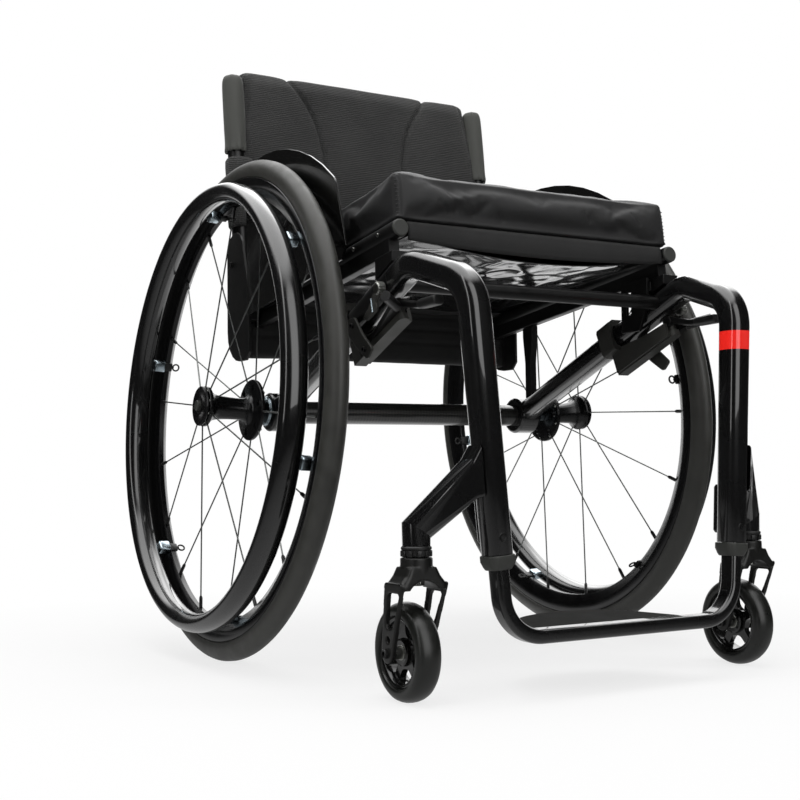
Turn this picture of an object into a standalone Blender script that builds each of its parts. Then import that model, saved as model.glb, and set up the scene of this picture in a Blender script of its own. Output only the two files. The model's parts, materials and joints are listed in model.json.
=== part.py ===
"""Rigid active wheelchair, built from its separate pieces.

Metres, +Z up. The chair faces -Y, stands on z = 0 and is centred on x = 0. The user's right is -X.
Shapes are worked out with the rear axle at y = 0, and AXLE_Y moves them to the middle of the length.
"""

import bmesh
import bpy
from math import atan2, cos, pi, radians, sin, sqrt, tan
from mathutils import Vector

RIGHT, LEFT = -1, 1
SIDES = ((RIGHT, "right"), (LEFT, "left"))
X_AXIS = Vector((1, 0, 0))
Y_AXIS = Vector((0, 1, 0))
Z_AXIS = Vector((0, 0, 1))

# Clearances
GAP = 0.0003
RUNNING = 0.0005
CUT_PAST = 0.004

# Rear wheels
TYRE_SEAT_RADIUS = 0.2715
TYRE_HEIGHT = 0.0235
TYRE_WIDTH = 0.0245
TREAD_FLAT = 0.006
RIM_DEPTH = 0.023
RIM_WIDTH = 0.022
CAMBER = radians(3.4)
WHEEL_STEPS = 40
HANDRIM_STEP = 0.0035
HANDRIM_HEIGHT = 0.0224
HANDRIM_WIDTH = 0.030
HANDRIM_OFFSET = 0.0336
TAB_COUNT = 6
TAB_WIDTH = 0.011
TAB_HEIGHT = 0.0075
SPOKE_COUNT = 18
SPOKE_RADIUS = 0.0011
NIPPLE_RADIUS = 0.0023
NIPPLE_LENGTH = 0.014
NIPPLE_GAP = 0.0015
RIGHT_SPOKE_PHASE = radians(15)
LEFT_SPOKE_PHASE = radians(-2)
RIGHT_TAB_PHASE = radians(44)
LEFT_TAB_PHASE = radians(7)

# Rear hubs
INNER_FLANGE_RADIUS = 0.0368
OUTER_FLANGE_RADIUS = 0.0238
HUB_INNER_FACE = -0.029
HUB_OUTER_FACE = 0.040
FLANGE_THICKNESS = 0.005
BARREL_RADIUS = 0.0130
BARREL_OUTER_RADIUS = 0.0155
HUB_HOLES = 6
HUB_HOLE_RADIUS = 0.0034
AXLE_PIN_RADIUS = 0.00635
BUTTON_TRAVEL = 0.003
BUTTON_LENGTH = 0.0075

# Axle tube and camber plugs
AXLE_TUBE_RADIUS = 0.014
TUBE_WALL = 0.002
CLAMP_RADIUS = 0.0235
CLAMP_WIDTH = 0.030
SPACER_LENGTH = 0.0181
PLUG_RADIUS = 0.0113
PLUG_DEPTH = 0.011
PLUG_NOSE_RADIUS = 0.0086

# Side frames
SIDE_X = 0.180
FRAME_TUBE = 0.029
FRAME_TUBE_REAR = 0.027
FRAME_TUBE_FOOT = 0.027
FRAME_CORNER = 0.0085
SHOULDER_Y = -0.330
SHOULDER_Z = 0.424
KNEE_X = 0.1675
KNEE_Y = -0.4170
KNEE_Z = 0.395
FOOT_X = 0.1415
FOOT_Y = -0.4247
FOOT_Z = 0.0604
SHOULDER_RADIUS = 0.045
KNEE_RADIUS = 0.040
FRONT_TUBE_END_Z = 0.1385
SOCKET_DEPTH = 0.060
RIB_DEPTH = 0.007
RIB_WIDTH = 0.018
RIB_TOP_Z = 0.199
RIB_BOTTOM_Z = 0.148
CROSS_TUBE_Y = -0.292
CROSS_TUBE_RADIUS = 0.008

# Footrest
LEG_WIDTH = 0.014
LEG_DEPTH = 0.020
LEG_CORNER = 0.0045
FOOT_BEND = 0.042
COLLAR_HEIGHT = 0.014
COLLAR_MARGIN = 0.0008
COLLAR_STRAIGHT = 0.006
COLLAR_TAPER = 0.77
PLATE_DEPTH = 0.098
PLATE_WIDTH = 0.138
PLATE_REAR_BOW = 0.116
PLATE_REAR_ROUND = 0.028
PLATE_FRONT_ROUND = 0.008
PLATE_TOP_Z = 0.071
PLATE_THICKNESS = 0.004
PLATE_RIM = 0.009
PLATE_RIM_WIDTH = 0.010

# Casters
CASTER_X = 0.211
CASTER_Y = -0.3822
CASTER_RADIUS = 0.047
CASTER_WIDTH = 0.026
CASTER_RIM_RADIUS = 0.0335
CASTER_RIM_WALL = 0.004
CASTER_BOSS_RADIUS = 0.0095
CASTER_BOSS_LENGTH = 0.014
CASTER_SPACER_RADIUS = 0.0062
CASTER_SPOKES = 5
CASTER_TRAIL = 0.0192
CASTER_STEPS = 24
HOUSING_RADIUS = 0.0132
HOUSING_BOTTOM_Z = 0.1475
HOUSING_TOP_Z = 0.170
STEM_RADIUS = 0.006
STEM_ROOF = 0.012
STEM_COVER_HEIGHT = 0.010
COVER_RADIUS = 0.0150
COVER_TEETH = 10
CROWN_RADIUS = 0.0153
CROWN_BOTTOM_Z = 0.1085
CROWN_SHOULDER = 0.0125
CROWN_LEDGE = 0.0006
ARCH_RADIUS = 0.0190
ARCH_Z = 0.0970
FORK_SPREAD_TOP = 0.0232
FORK_SPREAD_AXLE = 0.0200
FORK_LEG_THICKNESS = 0.0048
FORK_LEG_TOP = 0.033
FORK_LEG_AXLE = 0.0145
FORK_STRUT = 0.0048
CASTER_BOLT_RADIUS = 0.004
ARM_ROOT_TOP_Z = 0.2345
ARM_ROOT_BOTTOM_Z = 0.1985
ARM_DEPTH = 0.025
ARM_FLARE = 0.006
ARMPIT_Z = 0.1535

# Seat
RAIL_X = 0.179
RAIL_RADIUS = 0.0095
RAIL_FRONT_Y = -0.302
RAIL_FRONT_Z = 0.4643
RAIL_REAR_Y = 0.070
SEAT_SLOPE = radians(6.4)
RAIL_FLANGE_WIDTH = 0.012
RAIL_FLANGE_HEIGHT = 0.014
RAIL_FLANGE_SETBACK = 0.014
END_CAP_THICKNESS = 0.0028
SLING_EDGE = 0.004
SLING_DROOP = 0.018
SLING_REAR_Y = 0.055
CUSHION_HALF_WIDTH = 0.181
CUSHION_THICKNESS = 0.052
CUSHION_REAR_Y = 0.052
CUSHION_ROUND = 0.007
SEAT_BLOCK_WIDTH = 0.022
SEAT_BLOCK_FRONT_Y = -0.304
SEAT_BLOCK_REAR_Y = -0.268
SLOT_PLATE_THICKNESS = 0.004
SLOT_PLATE_REAR_Y = -0.236
REAR_POST_Y = -0.024
REAR_POST_THICKNESS = 0.010
REAR_POST_FOOT = 0.012
REAR_POST_HEAD = 0.021

# Backrest
POST_X = 0.187
POST_RADIUS = 0.011
HINGE_Y = 0.0965
HINGE_Z = 0.484
BACK_LEAN = radians(7)
POST_BELOW_HINGE = 0.038
POST_TOP_Z = 0.736
HINGE_PIN_RADIUS = 0.004
BRACKET_THICKNESS = 0.0035
BRACKET_TOP_Z = 0.524
BRACKET_BOTTOM_Z = 0.358
BRACKET_FRONT_Y = 0.040
PAD_RADIUS = 0.0145
PAD_BOTTOM_Z = 0.641
PAD_TOP_Z = 0.741
PANEL_THICKNESS = 0.036
PANEL_BOTTOM_Z = 0.448
PANEL_TOP_Z = 0.750
PANEL_FRONT_SET = 0.0045
SLEEVE_WALL = 0.0035
SLEEVE_SEAM = 0.006
SLEEVE_BOTTOM_Z = 0.534
SLEEVE_TOP_Z = 0.627
BACK_BAR_RADIUS = 0.008
BACK_BAR_Z = 0.505
BACK_BAR_BEND = 0.012
FLAP_FRONT_Y = 0.060
FLAP_THICKNESS = 0.018
FLAP_BOTTOM_Z = 0.357
FLAP_TOP_Z = 0.450

# Sideguards, around the axle's height
GUARD_X = 0.2033
GUARD_THICKNESS = 0.0025
GUARD_REAR_Y = 0.038
GUARD_RISE = 0.012
GUARD_CENTRE_Y = -0.012
GUARD_CORNER = 0.020
GUARD_FRONT_Y = -0.231
GUARD_LUG_Y = (-0.150, -0.010)
GUARD_LUG_LENGTH = 0.030

# Brakes, in distances along the diagonal tube and below its centre
BRAKE_CLAMP_Y = -0.205
BRAKE_CLAMP_LENGTH = 0.024
BRAKE_CLAMP_WALL = 0.0055
BRAKE_BODY_DROP = 0.037
BRAKE_BODY_HEIGHT = 0.007
BRAKE_BODY_WIDTH = 0.016
BRAKE_WEB_OUT = -0.009
BRAKE_WEB_THICKNESS = 0.004
BRAKE_WEB_TOP = 0.024
BRAKE_LUG_RISE = 0.005
BRAKE_PIN_RADIUS = 0.003
BRAKE_STOOL_RADIUS = 0.0042
LEVER_PIVOT = 0.094
LEVER_LENGTH = 0.079
LEVER_WIDTH = 0.011
LEVER_HEIGHT = 0.009
LEVER_DROP = 0.020
LEVER_DIP = radians(28)
SHOE_PIVOT = 0.0400
SHOE_ARM_HEIGHT = 0.006
SHOE_ARM_LENGTH = 0.0685
SHOE_ARM_WIDTH = 0.013
SHOE_REST_ANGLE = radians(11.8)
SHOE_SWING = radians(40.5)
SHOE_RADIUS = 0.0055
SHOE_LENGTH = 0.030

# Worked out from the sizes above
TYRE_RADIUS = TYRE_SEAT_RADIUS + TYRE_HEIGHT
RIM_INNER_RADIUS = TYRE_SEAT_RADIUS - RIM_DEPTH
HANDRIM_RADIUS = RIM_INNER_RADIUS + HANDRIM_STEP
CLAMP_FACE_X = SIDE_X + CLAMP_WIDTH / 2
HALF_TRACK = CLAMP_FACE_X + (SPACER_LENGTH - HUB_INNER_FACE) * cos(CAMBER)
GUARD_RADIUS = TYRE_RADIUS + GUARD_RISE
AXLE_Z = TYRE_RADIUS * cos(CAMBER) + TREAD_FLAT / 2 * sin(CAMBER)
FRONT_RAKE = (KNEE_Y - FOOT_Y) / (KNEE_Z - FOOT_Z)
FRONT_SPLAY = (KNEE_X - FOOT_X) / (KNEE_Z - FOOT_Z)
COLLAR_WIDTH = FRAME_TUBE_FOOT + 2 * COLLAR_MARGIN
FRONT_REACH = COLLAR_WIDTH / 2 - FOOT_Y - FRONT_RAKE * (FRONT_TUBE_END_Z - COLLAR_STRAIGHT - FOOT_Z)
AXLE_Y = (FRONT_REACH - TYRE_RADIUS) / 2
AXLE_TUBE_Z = AXLE_Z - (HALF_TRACK - SIDE_X) * tan(CAMBER)
PANEL_HALF_WIDTH = POST_X - PAD_RADIUS - GAP
CUSHION_SEAT = sqrt((RAIL_RADIUS + CUSHION_ROUND + GAP) ** 2
                    - (RAIL_X - CUSHION_HALF_WIDTH + CUSHION_ROUND) ** 2) - CUSHION_ROUND


def clear_scene():
    for item in list(bpy.data.objects):
        bpy.data.objects.remove(item, do_unlink=True)


def material(name, colour, roughness, metallic=0.0):
    made = bpy.data.materials.get(name)
    if made is None:
        made = bpy.data.materials.new(name)
        made.use_nodes = True
        shader = made.node_tree.nodes["Principled BSDF"]
        shader.inputs["Base Color"].default_value = (*colour, 1.0)
        shader.inputs["Roughness"].default_value = roughness
        shader.inputs["Metallic"].default_value = metallic
        made.diffuse_color = (*colour, 1.0)
    return made


def gloss_frame_paint():
    return material("gloss_black_frame_paint", (0.012, 0.012, 0.013), 0.18)


def satin_black_metal():
    return material("satin_black_metal", (0.02, 0.02, 0.021), 0.4, 0.6)


def black_plastic():
    return material("matte_black_plastic", (0.03, 0.03, 0.031), 0.55)


def bright_steel():
    return material("bright_steel", (0.6, 0.6, 0.58), 0.25, 1.0)


def carbon_tube():
    return material("lacquered_carbon", (0.025, 0.025, 0.026), 0.25)


def tyre_rubber():
    return material("grey_black_tyre_rubber", (0.05, 0.05, 0.05), 0.7)


def black_cloth():
    return material("black_cloth", (0.02, 0.02, 0.022), 0.9)


def grey_foam_cover():
    return material("charcoal_pad_cover", (0.04, 0.04, 0.042), 0.8)


def add_object(name, bm, finish, origin=(0, 0, 0), camber_side=0):
    """An object from a mesh that is drawn around its own origin. The rear axle is at y = 0 here."""
    bmesh.ops.recalc_face_normals(bm, faces=bm.faces)
    mesh = bpy.data.meshes.new(name)
    bm.to_mesh(mesh)
    bm.free()
    mesh.materials.append(finish)
    made = bpy.data.objects.new(name, mesh)
    bpy.context.collection.objects.link(made)
    made.location = Vector(origin) + Vector((0, AXLE_Y, 0))
    made.rotation_euler = (0, -camber_side * CAMBER, 0)
    return made


def add_helper(name, bm, owner):
    """A cutter or an addition for a Boolean, in its owner's own axes."""
    bmesh.ops.recalc_face_normals(bm, faces=bm.faces)
    mesh = bpy.data.meshes.new(name)
    bm.to_mesh(mesh)
    bm.free()
    made = bpy.data.objects.new(name, mesh)
    bpy.context.collection.objects.link(made)
    made.parent = owner
    made.hide_render = True
    made.display_type = "WIRE"
    return made


def combine(owner, bm, operation):
    count = len(owner.modifiers)
    step = owner.modifiers.new(f"{operation.lower()}_{count}", "BOOLEAN")
    step.operation = operation
    step.solver = "EXACT"
    step.object = add_helper(f"{owner.name}_{operation.lower()}_{count}", bm, owner)


def cut(owner, bm):
    combine(owner, bm, "DIFFERENCE")


def join(owner, bm):
    combine(owner, bm, "UNION")


def loft(rings, closed=False, into=None):
    """Skin a row of point rings. Open rows get flat ends."""
    bm = into or bmesh.new()
    rows = [[bm.verts.new(point) for point in ring] for ring in rings]
    count = len(rows[0])
    pairs = list(zip(rows, rows[1:]))
    if closed:
        pairs.append((rows[-1], rows[0]))
    for first, second in pairs:
        for i in range(count):
            j = (i + 1) % count
            bm.faces.new((first[i], first[j], second[j], second[i]))
    if not closed:
        bm.faces.new(rows[0])
        bm.faces.new(reversed(rows[-1]))
    return bm


def revolve(profile, steps, centre=(0, 0, 0), axis=X_AXIS, side=1, closed=True, into=None):
    """Turn a profile of (radius, distance along the axis) points into a solid."""
    bm = into or bmesh.new()
    axis = Vector(axis).normalized() * side
    across = Z_AXIS if abs(axis.z) < 0.5 else Y_AXIS
    across = (across - across.dot(axis) * axis).normalized()
    points = [Vector(centre) + across * radius + axis * along for radius, along in profile]
    verts = [bm.verts.new(point) for point in points]
    edges = [bm.edges.new(pair) for pair in zip(verts, verts[1:])]
    if closed:
        edges.append(bm.edges.new((verts[-1], verts[0])))
    bmesh.ops.spin(bm, geom=verts + edges, cent=centre, axis=axis, angle=2 * pi, steps=steps,
                   use_merge=True)
    bmesh.ops.remove_doubles(bm, verts=bm.verts, dist=1e-6)
    return bm


def rod(start, end, radius, sides=16, into=None):
    start, end = Vector(start), Vector(end)
    profile = [(0, 0), (radius, 0), (radius, (end - start).length), (0, (end - start).length)]
    return revolve(profile, sides, start, end - start, closed=False, into=into)


def rounded_rectangle(width, depth, corner, steps=2, shift=(0.0, 0.0)):
    points = []
    for i in range(4):
        turn = i * pi / 2
        cx = (width / 2 - corner) * (1 if i in (0, 3) else -1) + shift[0]
        cy = (depth / 2 - corner) * (1 if i in (0, 1) else -1) + shift[1]
        for k in range(steps + 1):
            angle = turn + k * pi / 2 / steps
            points.append((cx + corner * cos(angle), cy + corner * sin(angle)))
    return points


def filleted(points, radii, steps=5):
    """A path through the points, with an arc of each radius at each inner point."""
    points = [Vector(point) for point in points]
    path = [points[0]]
    for before, corner, after, radius in zip(points, points[1:], points[2:], radii):
        into, out = (corner - before).normalized(), (after - corner).normalized()
        turn = into.angle(out)
        start = corner - into * radius * tan(turn / 2)
        inward = (out - into * out.dot(into)).normalized()
        centre = start + inward * radius
        for k in range(steps + 1):
            angle = turn * k / steps
            path.append(centre + into * radius * sin(angle) - inward * radius * cos(angle))
    path.append(points[-1])
    return path


def sweep(path, sections, reference):
    """Carry a section along a path. Its first axis stays as near the reference as it can."""
    rings = []
    for i, point in enumerate(path):
        before = path[max(i - 1, 0)]
        after = path[min(i + 1, len(path) - 1)]
        along = ((point - before).normalized() + (after - point).normalized()).normalized()
        across = (reference - reference.dot(along) * along).normalized()
        square = along.cross(across)
        section = sections[i] if isinstance(sections[0], list) else sections
        rings.append([point + across * a + square * b for a, b in section])
    return loft(rings)


def prism(outline, place, low, high, into=None):
    """Extrude a flat outline of (u, v) points. place(u, v, w) gives the point in space."""
    return loft([[place(u, v, w) for u, v in outline] for w in (low, high)], into=into)


def arc(centre, radius, start, end, steps):
    return [
        (centre[0] + radius * cos(start + (end - start) * k / steps),
         centre[1] + radius * sin(start + (end - start) * k / steps))
        for k in range(steps + 1)
    ]


def front_line(z):
    """The centre of a front tube at a height, as (distance from the middle, y)."""
    return FOOT_X + FRONT_SPLAY * (z - FOOT_Z), FOOT_Y + FRONT_RAKE * (z - FOOT_Z)


def front_size(z):
    """The front tube's width, which narrows towards the footrest."""
    share = (z - FRONT_TUBE_END_Z) / (KNEE_Z - FRONT_TUBE_END_Z)
    return FRAME_TUBE_FOOT + (FRAME_TUBE - FRAME_TUBE_FOOT) * share


def diagonal_z(y):
    """The height of the diagonal tube's centre."""
    return AXLE_TUBE_Z + (SHOULDER_Z - AXLE_TUBE_Z) * y / SHOULDER_Y


DIAGONAL_SLOPE = atan2(SHOULDER_Z - AXLE_TUBE_Z, -SHOULDER_Y)


def diagonal_size(y):
    return FRAME_TUBE_REAR + (FRAME_TUBE - FRAME_TUBE_REAR) * y / SHOULDER_Y


def rail_z(y):
    return RAIL_FRONT_Z - (y - RAIL_FRONT_Y) * tan(SEAT_SLOPE)


def rail_bottom_z(y):
    return rail_z(y) - (RAIL_RADIUS + RAIL_FLANGE_HEIGHT) / cos(SEAT_SLOPE)


def rim_and_tyre(side, word, hub):
    half, seat = TYRE_WIDTH / 2, TYRE_SEAT_RADIUS + GAP
    height = TYRE_RADIUS - seat
    flank = [(seat, -half * 0.8), (seat + height * 0.42, -half),
             (seat + height * 0.80, -half * 0.72), (TYRE_RADIUS, -TREAD_FLAT / 2)]
    profile = flank + [(radius, -along) for radius, along in reversed(flank)]
    add_object(f"rear_tyre_{word}", revolve(profile, WHEEL_STEPS), tyre_rubber(), hub, side)

    wide = RIM_WIDTH / 2
    well = [(TYRE_SEAT_RADIUS, -wide * 0.92), (TYRE_SEAT_RADIUS - RIM_DEPTH * 0.35, -wide),
            (RIM_INNER_RADIUS + RIM_DEPTH * 0.16, -wide * 0.5), (RIM_INNER_RADIUS, -wide * 0.28)]
    profile = well + [(radius, -along) for radius, along in reversed(well)]
    add_object(f"wheel_rim_{word}", revolve(profile, WHEEL_STEPS), satin_black_metal(), hub, side)


def spoke(side, angle, flange_radius, flange_along, bm):
    """One straight spoke, from inside its flange to its nipple under the rim, out from the X axis."""
    def spot(radius, along):
        return Vector((side * along, -radius * cos(angle), radius * sin(angle)))

    start = spot(flange_radius, flange_along)
    end = spot(RIM_INNER_RADIUS - NIPPLE_GAP, 0)
    along = (end - start).normalized()
    across = X_AXIS.cross(along).normalized()
    square = along.cross(across)
    length = (end - start).length
    stations = ((0, SPOKE_RADIUS), (length - NIPPLE_LENGTH, SPOKE_RADIUS),
                (length - NIPPLE_LENGTH * 0.9, NIPPLE_RADIUS), (length, NIPPLE_RADIUS))
    turns = [k * pi / 2 for k in range(4)]
    rings = [[start + along * far + (across * cos(t) + square * sin(t)) * size for t in turns]
             for far, size in stations]
    loft(rings, into=bm)


def hub_with_spokes(side, word, hub, phase):
    bore = AXLE_PIN_RADIUS + RUNNING
    inner_face = HUB_INNER_FACE + FLANGE_THICKNESS
    outer_start = HUB_OUTER_FACE - 2 * FLANGE_THICKNESS
    groove = OUTER_FLANGE_RADIUS * 0.8
    profile = [
        (bore, HUB_INNER_FACE), (INNER_FLANGE_RADIUS, HUB_INNER_FACE),
        (INNER_FLANGE_RADIUS, inner_face), (BARREL_RADIUS * 1.35, inner_face + 0.001),
        (BARREL_RADIUS, inner_face + 0.008), (BARREL_OUTER_RADIUS, outer_start - 0.004),
        (OUTER_FLANGE_RADIUS * 0.9, outer_start), (OUTER_FLANGE_RADIUS, outer_start + 0.001),
        (OUTER_FLANGE_RADIUS, outer_start + FLANGE_THICKNESS - 0.001),
        (groove, outer_start + FLANGE_THICKNESS), (groove, outer_start + FLANGE_THICKNESS + 0.0012),
        (OUTER_FLANGE_RADIUS, outer_start + FLANGE_THICKNESS + 0.002),
        (OUTER_FLANGE_RADIUS - 0.001, HUB_OUTER_FACE), (bore, HUB_OUTER_FACE),
    ]
    made = add_object(f"wheel_hub_{word}", revolve(profile, 20, side=side), satin_black_metal(), hub,
                      side)
    holes = bmesh.new()
    ring = (INNER_FLANGE_RADIUS + BARREL_RADIUS * 1.35) / 2
    for i in range(HUB_HOLES):
        turn = phase + 2 * pi * i / HUB_HOLES
        y, z = -ring * cos(turn), ring * sin(turn)
        rod((side * (HUB_INNER_FACE - CUT_PAST), y, z), (side * (inner_face + CUT_PAST / 2), y, z),
            HUB_HOLE_RADIUS, 8, into=holes)
    cut(made, holes)
    spokes = bmesh.new()
    for i in range(SPOKE_COUNT):
        angle = phase + 2 * pi * i / SPOKE_COUNT
        if i % 2:
            spoke(side, angle, INNER_FLANGE_RADIUS - 0.003, HUB_INNER_FACE + FLANGE_THICKNESS / 2,
                  spokes)
        else:
            spoke(side, angle, OUTER_FLANGE_RADIUS - 0.003, outer_start + FLANGE_THICKNESS / 2,
                  spokes)
    join(made, spokes)


def handrim(side, word, hub, phase):
    steps = 8
    section = [
        (HANDRIM_RADIUS + HANDRIM_HEIGHT / 2 * sin(2 * pi * k / steps),
         HANDRIM_OFFSET + HANDRIM_WIDTH / 2 * cos(2 * pi * k / steps)) for k in range(steps)
    ]
    made = add_object(f"handrim_{word}", revolve(section, WHEEL_STEPS, side=side),
                      gloss_frame_paint(), hub, side)
    top = RIM_INNER_RADIUS - RUNNING * 2
    tabs = bmesh.new()
    for i in range(TAB_COUNT):
        turn = phase + 2 * pi * i / TAB_COUNT

        def place(u, v, w, turn=turn):
            return Vector((side * u, -v * cos(turn) + w * sin(turn), v * sin(turn) + w * cos(turn)))

        outline = [(-0.004, top - TAB_HEIGHT), (HANDRIM_OFFSET - 0.004, top - TAB_HEIGHT * 0.9),
                   (HANDRIM_OFFSET - 0.004, top), (-0.004, top)]
        prism(outline, place, -TAB_WIDTH / 2, TAB_WIDTH / 2, into=tabs)
    join(made, tabs)


def axle_parts(side, word, hub):
    """The camber plug in the frame's clamp, the axle pin and its release button."""
    bore = AXLE_PIN_RADIUS + GAP
    clamp_face = HUB_INNER_FACE - SPACER_LENGTH + RUNNING * 3
    plug_end = clamp_face - PLUG_DEPTH
    nose_start = (clamp_face + HUB_INNER_FACE) / 2
    profile = [
        (bore, plug_end), (PLUG_RADIUS, plug_end), (PLUG_RADIUS, clamp_face),
        (CLAMP_RADIUS * 0.78, clamp_face), (CLAMP_RADIUS * 0.72, clamp_face + 0.003),
        (PLUG_NOSE_RADIUS + 0.002, nose_start), (PLUG_NOSE_RADIUS, nose_start),
        (PLUG_NOSE_RADIUS, HUB_INNER_FACE - RUNNING), (bore, HUB_INNER_FACE - RUNNING),
    ]
    add_object(f"camber_plug_{word}", revolve(profile, 16, side=side), bright_steel(), hub, side)
    pin_end = HUB_OUTER_FACE - BUTTON_TRAVEL - BUTTON_LENGTH / 2 - RUNNING
    profile = [(0, plug_end), (AXLE_PIN_RADIUS - 0.001, plug_end),
               (AXLE_PIN_RADIUS, plug_end + 0.001), (AXLE_PIN_RADIUS, pin_end), (0, pin_end)]
    add_object(f"axle_pin_{word}", revolve(profile, 16, side=side, closed=False), bright_steel(), hub,
               side)
    start = HUB_OUTER_FACE - BUTTON_LENGTH / 2
    profile = [(0, start), (AXLE_PIN_RADIUS, start),
               (AXLE_PIN_RADIUS, start + BUTTON_LENGTH - 0.001),
               (AXLE_PIN_RADIUS - 0.001, start + BUTTON_LENGTH), (0, start + BUTTON_LENGTH)]
    add_object(f"release_button_{word}", revolve(profile, 16, side=side, closed=False),
               black_plastic(), hub, side)


def rear_wheels():
    phases = {RIGHT: (RIGHT_SPOKE_PHASE, RIGHT_TAB_PHASE), LEFT: (LEFT_SPOKE_PHASE, LEFT_TAB_PHASE)}
    for side, word in SIDES:
        hub = (side * HALF_TRACK, 0, AXLE_Z)
        spoke_phase, tab_phase = phases[side]
        rim_and_tyre(side, word, hub)
        hub_with_spokes(side, word, hub, spoke_phase)
        handrim(side, word, hub, tab_phase)
        axle_parts(side, word, hub)


def side_frames():
    """The formed tube from the axle clamp over shoulder and knee to the footrest socket."""
    for side, word in SIDES:
        end_x, end_y = front_line(FRONT_TUBE_END_Z)
        corners = [(side * SIDE_X, 0, AXLE_TUBE_Z), (side * SIDE_X, SHOULDER_Y, SHOULDER_Z),
                   (side * KNEE_X, KNEE_Y, KNEE_Z), (side * end_x, end_y, FRONT_TUBE_END_Z)]
        path = filleted(corners, (SHOULDER_RADIUS, KNEE_RADIUS))
        sizes = [FRAME_TUBE_REAR] + [FRAME_TUBE] * (len(path) - 2) + [FRAME_TUBE_FOOT]
        sections = [rounded_rectangle(size, size, FRAME_CORNER) for size in sizes]
        made = add_object(f"side_frame_{word}", sweep(path, sections, X_AXIS), gloss_frame_paint())

        inner, outer = side * (SIDE_X - CLAMP_WIDTH / 2), side * CLAMP_FACE_X
        join(made, rod((inner, 0, AXLE_TUBE_Z), (outer, 0, AXLE_TUBE_Z), CLAMP_RADIUS, 24))

        back = FRAME_TUBE_FOOT / 2 + RIB_DEPTH / 2 - 0.002
        rib = [Vector((side * front_line(z)[0], front_line(z)[1] + back, z))
               for z in (RIB_TOP_Z, RIB_BOTTOM_Z)]
        join(made, sweep(rib, rounded_rectangle(RIB_WIDTH, RIB_DEPTH + 0.004, 0.004), X_AXIS))

        top = front_line(FRONT_TUBE_END_Z + SOCKET_DEPTH)
        low = front_line(FRONT_TUBE_END_Z - CUT_PAST)
        socket = [Vector((side * top[0], top[1], FRONT_TUBE_END_Z + SOCKET_DEPTH)),
                  Vector((side * low[0], low[1], FRONT_TUBE_END_Z - CUT_PAST))]
        section = rounded_rectangle(LEG_WIDTH + 2 * GAP, LEG_DEPTH + 2 * GAP, LEG_CORNER)
        cut(made, sweep(socket, section, X_AXIS))

        start = Vector((side * HALF_TRACK, 0, AXLE_Z))
        along = Vector((side * cos(CAMBER), 0, sin(CAMBER)))
        near = SPACER_LENGTH - HUB_INNER_FACE
        cut(made, rod(start - along * (near + PLUG_DEPTH + CUT_PAST),
                      start - along * (near - CUT_PAST), PLUG_RADIUS + RUNNING, 16))
        reach = SIDE_X - CLAMP_WIDTH / 2 - CUT_PAST
        floor = CLAMP_FACE_X - PLUG_DEPTH - RUNNING
        cut(made, rod((side * reach, 0, AXLE_TUBE_Z), (side * floor, 0, AXLE_TUBE_Z),
                      AXLE_TUBE_RADIUS + GAP, 20))


def cross_tubes():
    half = SIDE_X - FRAME_TUBE / 2 - GAP
    z = diagonal_z(CROSS_TUBE_Y)
    add_object("front_cross_tube",
               rod((-half, CROSS_TUBE_Y, z), (half, CROSS_TUBE_Y, z), CROSS_TUBE_RADIUS, 20),
               satin_black_metal())
    end = CLAMP_FACE_X - PLUG_DEPTH - 2 * RUNNING
    wall = AXLE_TUBE_RADIUS - TUBE_WALL
    profile = [(wall, -end), (AXLE_TUBE_RADIUS, -end), (AXLE_TUBE_RADIUS, end), (wall, end)]
    add_object("axle_tube", revolve(profile, 20, (0, 0, AXLE_TUBE_Z)), carbon_tube())


def arm_section(side, upper, lower, y, corner):
    """A rounded section of the arm that stands on the line between two (distance, z) points."""
    (x0, z0), (x1, z1) = upper, lower
    length = sqrt((x1 - x0) ** 2 + (z1 - z0) ** 2)
    slant_x, slant_z = (x1 - x0) / length, (z1 - z0) / length
    return [Vector((side * ((x0 + x1) / 2 + slant_x * u), y + v, (z0 + z1) / 2 + slant_z * u))
            for u, v in rounded_rectangle(length, ARM_DEPTH, corner, 4)]


def caster_arms():
    """The arm flares from the front tube, runs out and down, and turns into the stem housing."""
    for side, word in SIDES:
        root_y = front_line(ARM_ROOT_TOP_Z)[1]
        outer, inner = CASTER_X + HOUSING_RADIUS, CASTER_X - HOUSING_RADIUS
        top_z, low_z = ARM_ROOT_TOP_Z + ARM_FLARE, ARM_ROOT_BOTTOM_Z - ARM_FLARE
        high = front_line(top_z)[0] + front_size(top_z) / 2 + RUNNING
        low = front_line(low_z)[0] + front_size(low_z) / 2 + RUNNING
        share = ARM_FLARE / (outer - high)
        neck_y = root_y + (CASTER_Y - root_y) * share
        neck_top = ARM_ROOT_TOP_Z + (HOUSING_TOP_Z - ARM_ROOT_TOP_Z) * share
        neck_low = ARM_ROOT_BOTTOM_Z + (ARMPIT_Z - ARM_ROOT_BOTTOM_Z) * ARM_FLARE / (inner - low)
        soft, round_corner = FRAME_CORNER / 2, ARM_DEPTH / 2 * 0.92
        rings = [
            arm_section(side, (high, top_z), (low, low_z), root_y, soft),
            arm_section(side, (high + ARM_FLARE, neck_top), (low + ARM_FLARE, neck_low), neck_y, soft),
            arm_section(side, (outer, HOUSING_TOP_Z), (inner, ARMPIT_Z), CASTER_Y, round_corner),
            arm_section(side, (outer, HOUSING_BOTTOM_Z), (inner, HOUSING_BOTTOM_Z), CASTER_Y,
                        round_corner),
        ]
        made = add_object(f"caster_arm_{word}", loft(rings), gloss_frame_paint())
        cut(made, rod((side * CASTER_X, CASTER_Y, HOUSING_BOTTOM_Z - CUT_PAST),
                      (side * CASTER_X, CASTER_Y, HOUSING_TOP_Z - STEM_ROOF), STEM_RADIUS + GAP, 16))


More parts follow.
